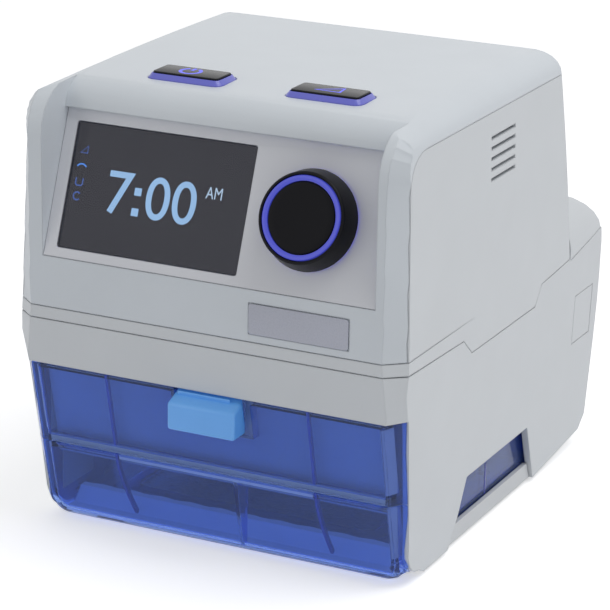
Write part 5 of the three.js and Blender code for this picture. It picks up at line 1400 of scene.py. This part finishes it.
@dataclass
class Tub:
    """The tank's clear tub with its two lower front corners rounded."""

    shop: Workshop
    half: float = 79.0
    low: float = 1.7
    round_mm: float = 9.5
    steps: int = 6
    full_y: float = -84.0
    plain_y: float = -72.0
    cut_tolerance: float = 1e-7
    wing_across: float = 75.3
    wing_path: tuple[Point, ...] = (
        (-92.0, 12.2), (-90.8, 9.3), (-88.8, 6.8), (-86.3, 4.8), (-83.4, 3.6), (-80.2, 3.2),
    )

    def cuts(self, side: int) -> list[tuple[Vector, Vector]]:
        """Gives the planes that cut one corner fine enough to be rounded.

        Args:
            side: -1 for the left corner, 1 for the right one.

        Returns:
            A point and the direction of each plane.
        """
        cuts = []
        for step in range(self.steps):
            reach = self.round_mm * step / self.steps
            cuts.append((Vector((side * (self.half - self.round_mm + reach), 0, 0)), Vector((1, 0, 0))))
            cuts.append((Vector((0, 0, self.low + self.round_mm - reach)), Vector((0, 0, 1))))
        rows = self.steps // 2
        for step in range(rows + 1):
            place_y = self.full_y + (self.plain_y - self.full_y) * step / rows
            cuts.append((Vector((0, place_y, 0)), Vector((0, 1, 0))))
        return cuts

    def wing_height(self, along: float) -> float:
        """Gives how high the tub's side wing may be raised below the base's side wall.

        Args:
            along: The place along the machine, in millimetres.

        Returns:
            The height, in millimetres, without limit before the wall's front end.
        """
        if along <= self.wing_path[0][0]:
            return math.inf
        for (near, low), (far, high) in zip(self.wing_path, self.wing_path[1:]):
            if along <= far:
                return low + (high - low) * (along - near) / (far - near)
        return self.wing_path[-1][1]

    def turn_in(self, vert: bmesh.types.BMVert) -> None:
        """Moves a point of a square lower corner onto a round one, less so further back.

        Args:
            vert: The point.
        """
        across = abs(vert.co.x) / MM - (self.half - self.round_mm)
        down = self.low + self.round_mm - vert.co.z / MM
        if across <= 0 or down <= 0:
            return
        keep = (vert.co.y / MM - self.full_y) / (self.plain_y - self.full_y)
        amount = 1 - min(1.0, max(0.0, keep))
        scale = max(across, down) / math.hypot(across, down)
        shift = (1 - scale) * amount * MM
        rise = down * shift
        if abs(vert.co.x) > self.wing_across * MM:
            rise = min(rise, max(0.0, self.wing_height(vert.co.y / MM) * MM - vert.co.z))
        vert.co.x -= math.copysign(across * shift, vert.co.x)
        vert.co.z += rise

    def build(self) -> None:
        """Builds the tub from the CAD tub's own shape."""
        mesh = self.shop.copy_of("tank_tub")
        bmesh.ops.triangulate(mesh, faces=mesh.faces)
        edge_x = (self.half - self.round_mm) * MM
        edge_z = (self.low + self.round_mm) * MM
        for side in (-1, 1):
            for place, way in self.cuts(side):
                near = [
                    face for face in mesh.faces
                    if max(v.co.x * side for v in face.verts) > edge_x
                    and min(v.co.z for v in face.verts) < edge_z
                    and min(v.co.y for v in face.verts) < self.plain_y * MM
                ]
                parts = {*near, *(e for f in near for e in f.edges), *(v for f in near for v in f.verts)}
                bmesh.ops.bisect_plane(
                    mesh, geom=list(parts), dist=self.cut_tolerance, plane_co=place * MM, plane_no=way,
                )
        for vert in mesh.verts:
            self.turn_in(vert)
        bmesh.ops.remove_doubles(mesh, verts=mesh.verts, dist=MERGE_NEW * MM)
        self.shop.piece("clear_tub", mesh, BLUE_TANK, Body.TANK, ("tank_tub",), "blue_tank")


@dataclass
class Latch:
    """The tank's latch: a soft-edged pad, the plate that it stands on, and its coil."""

    shop: Workshop
    front: Lean
    pad_round: float = 1.3
    pad_segments: int = 4
    pad_front_y: float = -114.0
    plate_left: float = -10.2
    plate_right: float = 12.2
    plate_low: float = 60.0
    plate_high: float = 70.9
    plate_thickness: float = 0.7
    plate_round: float = 0.3
    plate_segments: int = 3
    press_travel: float = 3.0

    def pad(self) -> None:
        """Builds the pad from the CAD latch, with soft edges before its foot."""
        mesh = self.shop.soft_copy("tank_latch", self.pad_round, self.pad_segments, self.pad_front_y)
        self.shop.piece("latch_pad", mesh, LATCH_BLUE_PAINTED_GLOW, Body.LATCH, ("tank_latch",), "blue_latch")

    def plate(self) -> None:
        """Builds the plate that lies on the lid's front under the pad."""
        middle = (self.plate_low + self.plate_high) / 2
        across = (self.plate_left + self.plate_right) / 2
        place = (across, self.front.at(middle) - self.plate_thickness, middle)
        size = (self.plate_right - self.plate_left, self.plate_thickness, self.plate_high - self.plate_low)
        mesh = slab(bmesh.new(), place, size, self.front.turn())
        soften(mesh, mesh.edges[:], self.plate_round, self.plate_segments)
        self.shop.piece("latch_plate", mesh, LATCH_BLUE_PAINTED_GLOW, Body.LATCH, slot="blue_latch")

    def coil(self) -> None:
        """Builds the latch's coil on the tank, with a mesh of its own."""
        mesh = self.shop.copy_of("latch_spring")
        piece = self.shop.piece(
            "latch_coil", mesh, BRIGHT_STEEL, Body.TANK, ("latch_spring",), "bright_steel",
        )
        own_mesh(piece)

    def build(self) -> None:
        """Builds the latch's pieces."""
        self.pad()
        self.plate()
        self.coil()


@dataclass
class SideVent:
    """Pale floors of the air slots in the right side."""

    shop: Workshop
    count: int = 5
    top_height: float = 163.5
    pitch: float = 4.1
    front_y: float = -26.3
    rear_y: float = -2.5
    height: float = 1.4
    seam_half: float = 82.5
    seam_height: float = 91.6
    draft_share: float = 0.03
    depth: float = 0.8
    thickness: float = 1.2
    edge_mm: float = 0.1

    def build(self) -> None:
        """Builds one bar in each slot, a little below the wall's face."""
        mesh = bmesh.new()
        for row in range(self.count):
            level = self.top_height - row * self.pitch
            face = self.seam_half - (level - self.seam_height) * self.draft_share - self.depth
            place = (face - self.thickness / 2, (self.front_y + self.rear_y) / 2, level)
            slab(mesh, place, (self.thickness, self.rear_y - self.front_y, self.height))
        soften(mesh, mesh.edges[:], self.edge_mm, 1)
        self.shop.piece("slot_floors", mesh, SIDE_SHELL, Body.UNIT, slot="side_shell")


@dataclass
class Dresser:
    """Gives each CAD node that stays its finish and smooth shading."""

    shop: Workshop
    smooth_degrees: float = 28.0
    shell_swell: float = 0.12
    shells: tuple[str, ...] = ("pale_shell", "side_shell", "panel_shell")
    finishes: tuple[Finish | Clear, ...] = (
        PALE_SHELL, SIDE_SHELL, PANEL_SHELL, BARE_PLATE, GREEN_BOARD, BLUE_SKIRT, BLACK_PLASTIC,
        INNER_PLASTIC, DARK_METAL, BRIGHT_STEEL, FILTER_FOAM, DARK_LENS, SCREEN, RING_LIGHT, INSULATOR,
        BLUE_TANK, BLACK_RUBBER, CLEAR_RUBBER,
    )

    def build(self) -> None:
        """Dresses every CAD node by the record's own slots."""
        slots = {part["node"]: part["material_slot"] for part in self.shop.frame["record"]["subparts"]}
        finishes = {"blue_latch": LATCH_BLUE_PAINTED_GLOW, **{finish.name: finish for finish in self.finishes}}
        plain = soft_shading(self.smooth_degrees, 0.0)
        swollen = soft_shading(self.smooth_degrees, self.shell_swell)
        for name, node in self.shop.frame["nodes"].items():
            node.data.materials.clear()
            node.data.materials.append(self.shop.paints.get(finishes[slots[name]]))
            if not node.hide_render:
                modifier = node.modifiers.new("soft_shading", "NODES")
                modifier.node_group = swollen if slots[name] in self.shells else plain
            LOG.info("node %s in %s", name, slots[name])


@dataclass
class Studio:
    """Pale floor, soft light, and the camera at the photograph's place."""

    camera_mm: Triple = (476.8, -996.7, 435.8)
    azimuth: float = 26.051
    elevation: float = 18.085
    roll: float = 0.912
    focal_px: float = 2834.5
    frame_px: float = 610.0
    sensor_mm: float = 36.0
    nearest: float = 0.05
    farthest: float = 50.0
    ambient: float = 0.44
    key_watts: float = 10.3
    key_at: Triple = (0.65, 0.1, 1.45)
    key_side: float = 1.1
    fill_watts: float = 1.7
    fill_at: Triple = (-0.9, -1.3, 0.7)
    fill_side: float = 0.9
    lamps_face: Triple = (0.0, 0.0, 0.1)
    floor_half: float = 6.0
    floor_colour: Colour = (240, 241, 243)
    floor_lift: float = 0.5

    def camera(self) -> None:
        """Places the camera."""
        data = bpy.data.cameras.new("photo_camera")
        data.sensor_width = self.sensor_mm
        data.lens = self.focal_px / self.frame_px * self.sensor_mm
        data.clip_start = self.nearest
        data.clip_end = self.farthest
        eye = placed("photo_camera", data)
        turn, lift, lean = (math.radians(a) for a in (self.azimuth, self.elevation, self.roll))
        back = Vector((math.sin(turn) * math.cos(lift), -math.cos(turn) * math.cos(lift), math.sin(lift)))
        right = Vector((math.cos(turn), math.sin(turn), 0))
        up = back.cross(right)
        side = right * math.cos(lean) + up * math.sin(lean)
        head = up * math.cos(lean) - right * math.sin(lean)
        turned = Matrix((side, head, back)).transposed().to_4x4()
        eye.matrix_world = Matrix.Translation(Vector(self.camera_mm) * MM) @ turned
        bpy.context.scene.camera = eye

    def world(self) -> None:
        """Makes the pale surroundings: white where seen, softer as a light."""
        world = bpy.data.worlds.new("studio")
        bpy.context.scene.world = world
        world.use_nodes = True
        wiring = Wiring(world.node_tree)
        output = wiring.add("ShaderNodeOutputWorld")
        background = wiring.add("ShaderNodeBackground", {"Color": (1, 1, 1, 1)})
        strength = wiring.add("ShaderNodeMapRange", {"To Min": self.ambient, "To Max": 1.0})
        wiring.link(wiring.background_rays(), strength.inputs["Value"])
        wiring.link(strength.outputs["Result"], background.inputs["Strength"])
        wiring.link(background.outputs["Background"], output.inputs["Surface"])

    def floor(self) -> None:
        """Lays the pale floor, lifted to white where it is seen, with its shadow kept."""
        mesh = bmesh.new()
        bmesh.ops.create_grid(mesh, x_segments=1, y_segments=1, size=self.floor_half)
        plane = placed("floor", stored("floor", mesh))
        bench = Bench("pale_floor")
        paint = bench.add("ShaderNodeBsdfDiffuse")
        tone = bench.noise(FLOOR_MM, PLAIN_DETAIL)
        colour = bench.tinted(tone, shade(self.floor_colour, 1 - FLOOR_VARIES), self.floor_colour)
        bench.link(colour, paint.inputs["Color"])
        chosen = bench.add("ShaderNodeMixShader")
        bench.link(bench.background_rays(), chosen.inputs[0])
        for socket, strength in zip(chosen.inputs[1:], (0.0, self.floor_lift)):
            bench.link(bench.add("ShaderNodeEmission", {"Strength": strength}).outputs[0], socket)
        both = bench.add("ShaderNodeAddShader")
        bench.link(paint.outputs[0], both.inputs[0])
        bench.link(chosen.outputs[0], both.inputs[1])
        bench.link(both.outputs[0], bench.output.inputs["Surface"])
        plane.data.materials.append(bench.material)

    def lamp(self, name: str, watts: float, side: float, at: Triple) -> None:
        """Hangs a large soft lamp that faces the machine.

        Args:
            name: Name of the lamp.
            watts: Its power.
            side: Width of its square face, in metres.
            at: Its place, in metres.
        """
        data = bpy.data.lights.new(name, "AREA")
        data.shape = "SQUARE"
        data.size = side
        data.energy = watts
        lamp = placed(name, data)
        place = Vector(at)
        turn = (place - Vector(self.lamps_face)).to_track_quat("Z", "Y").to_matrix().to_4x4()
        lamp.matrix_world = Matrix.Translation(place) @ turn

    def build(self) -> None:
        """Sets the view, the camera, the surroundings, the floor and the lamps."""
        bpy.context.scene.view_settings.view_transform = "Standard"
        self.camera()
        self.world()
        self.floor()
        self.lamp("key_lamp", self.key_watts, self.key_side, self.key_at)
        self.lamp("fill_lamp", self.fill_watts, self.fill_side, self.fill_at)


def main() -> None:
    """Builds the studio and every sub-assembly in order."""
    logging.basicConfig(level=logging.INFO, format="%(name)s: %(message)s")
    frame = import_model()
    shop = Workshop(frame, Paints())
    panel = PanelPlane()
    front = Lean()
    power = ((ring_points(POWER_CENTRE, POWER_RADIUS, POWER_ARC), False), (POWER_STEM, False))
    Studio().build()
    Display(shop, panel).build()
    Knob(shop, panel).build()
    PushButton(shop, "power_button", Body.POWER, power).build()
    PushButton(shop, "ramp_button", Body.RAMP, ((RAMP_WEDGE, True),)).build()
    HeaterPrint(shop).build()
    FrontPlate(shop).build()
    TankInside(shop, front).build()
    Tub(shop).build()
    Latch(shop, front).build()
    SideVent(shop).build()
    Dresser(shop).build()


if __name__ == "__main__":
    main()
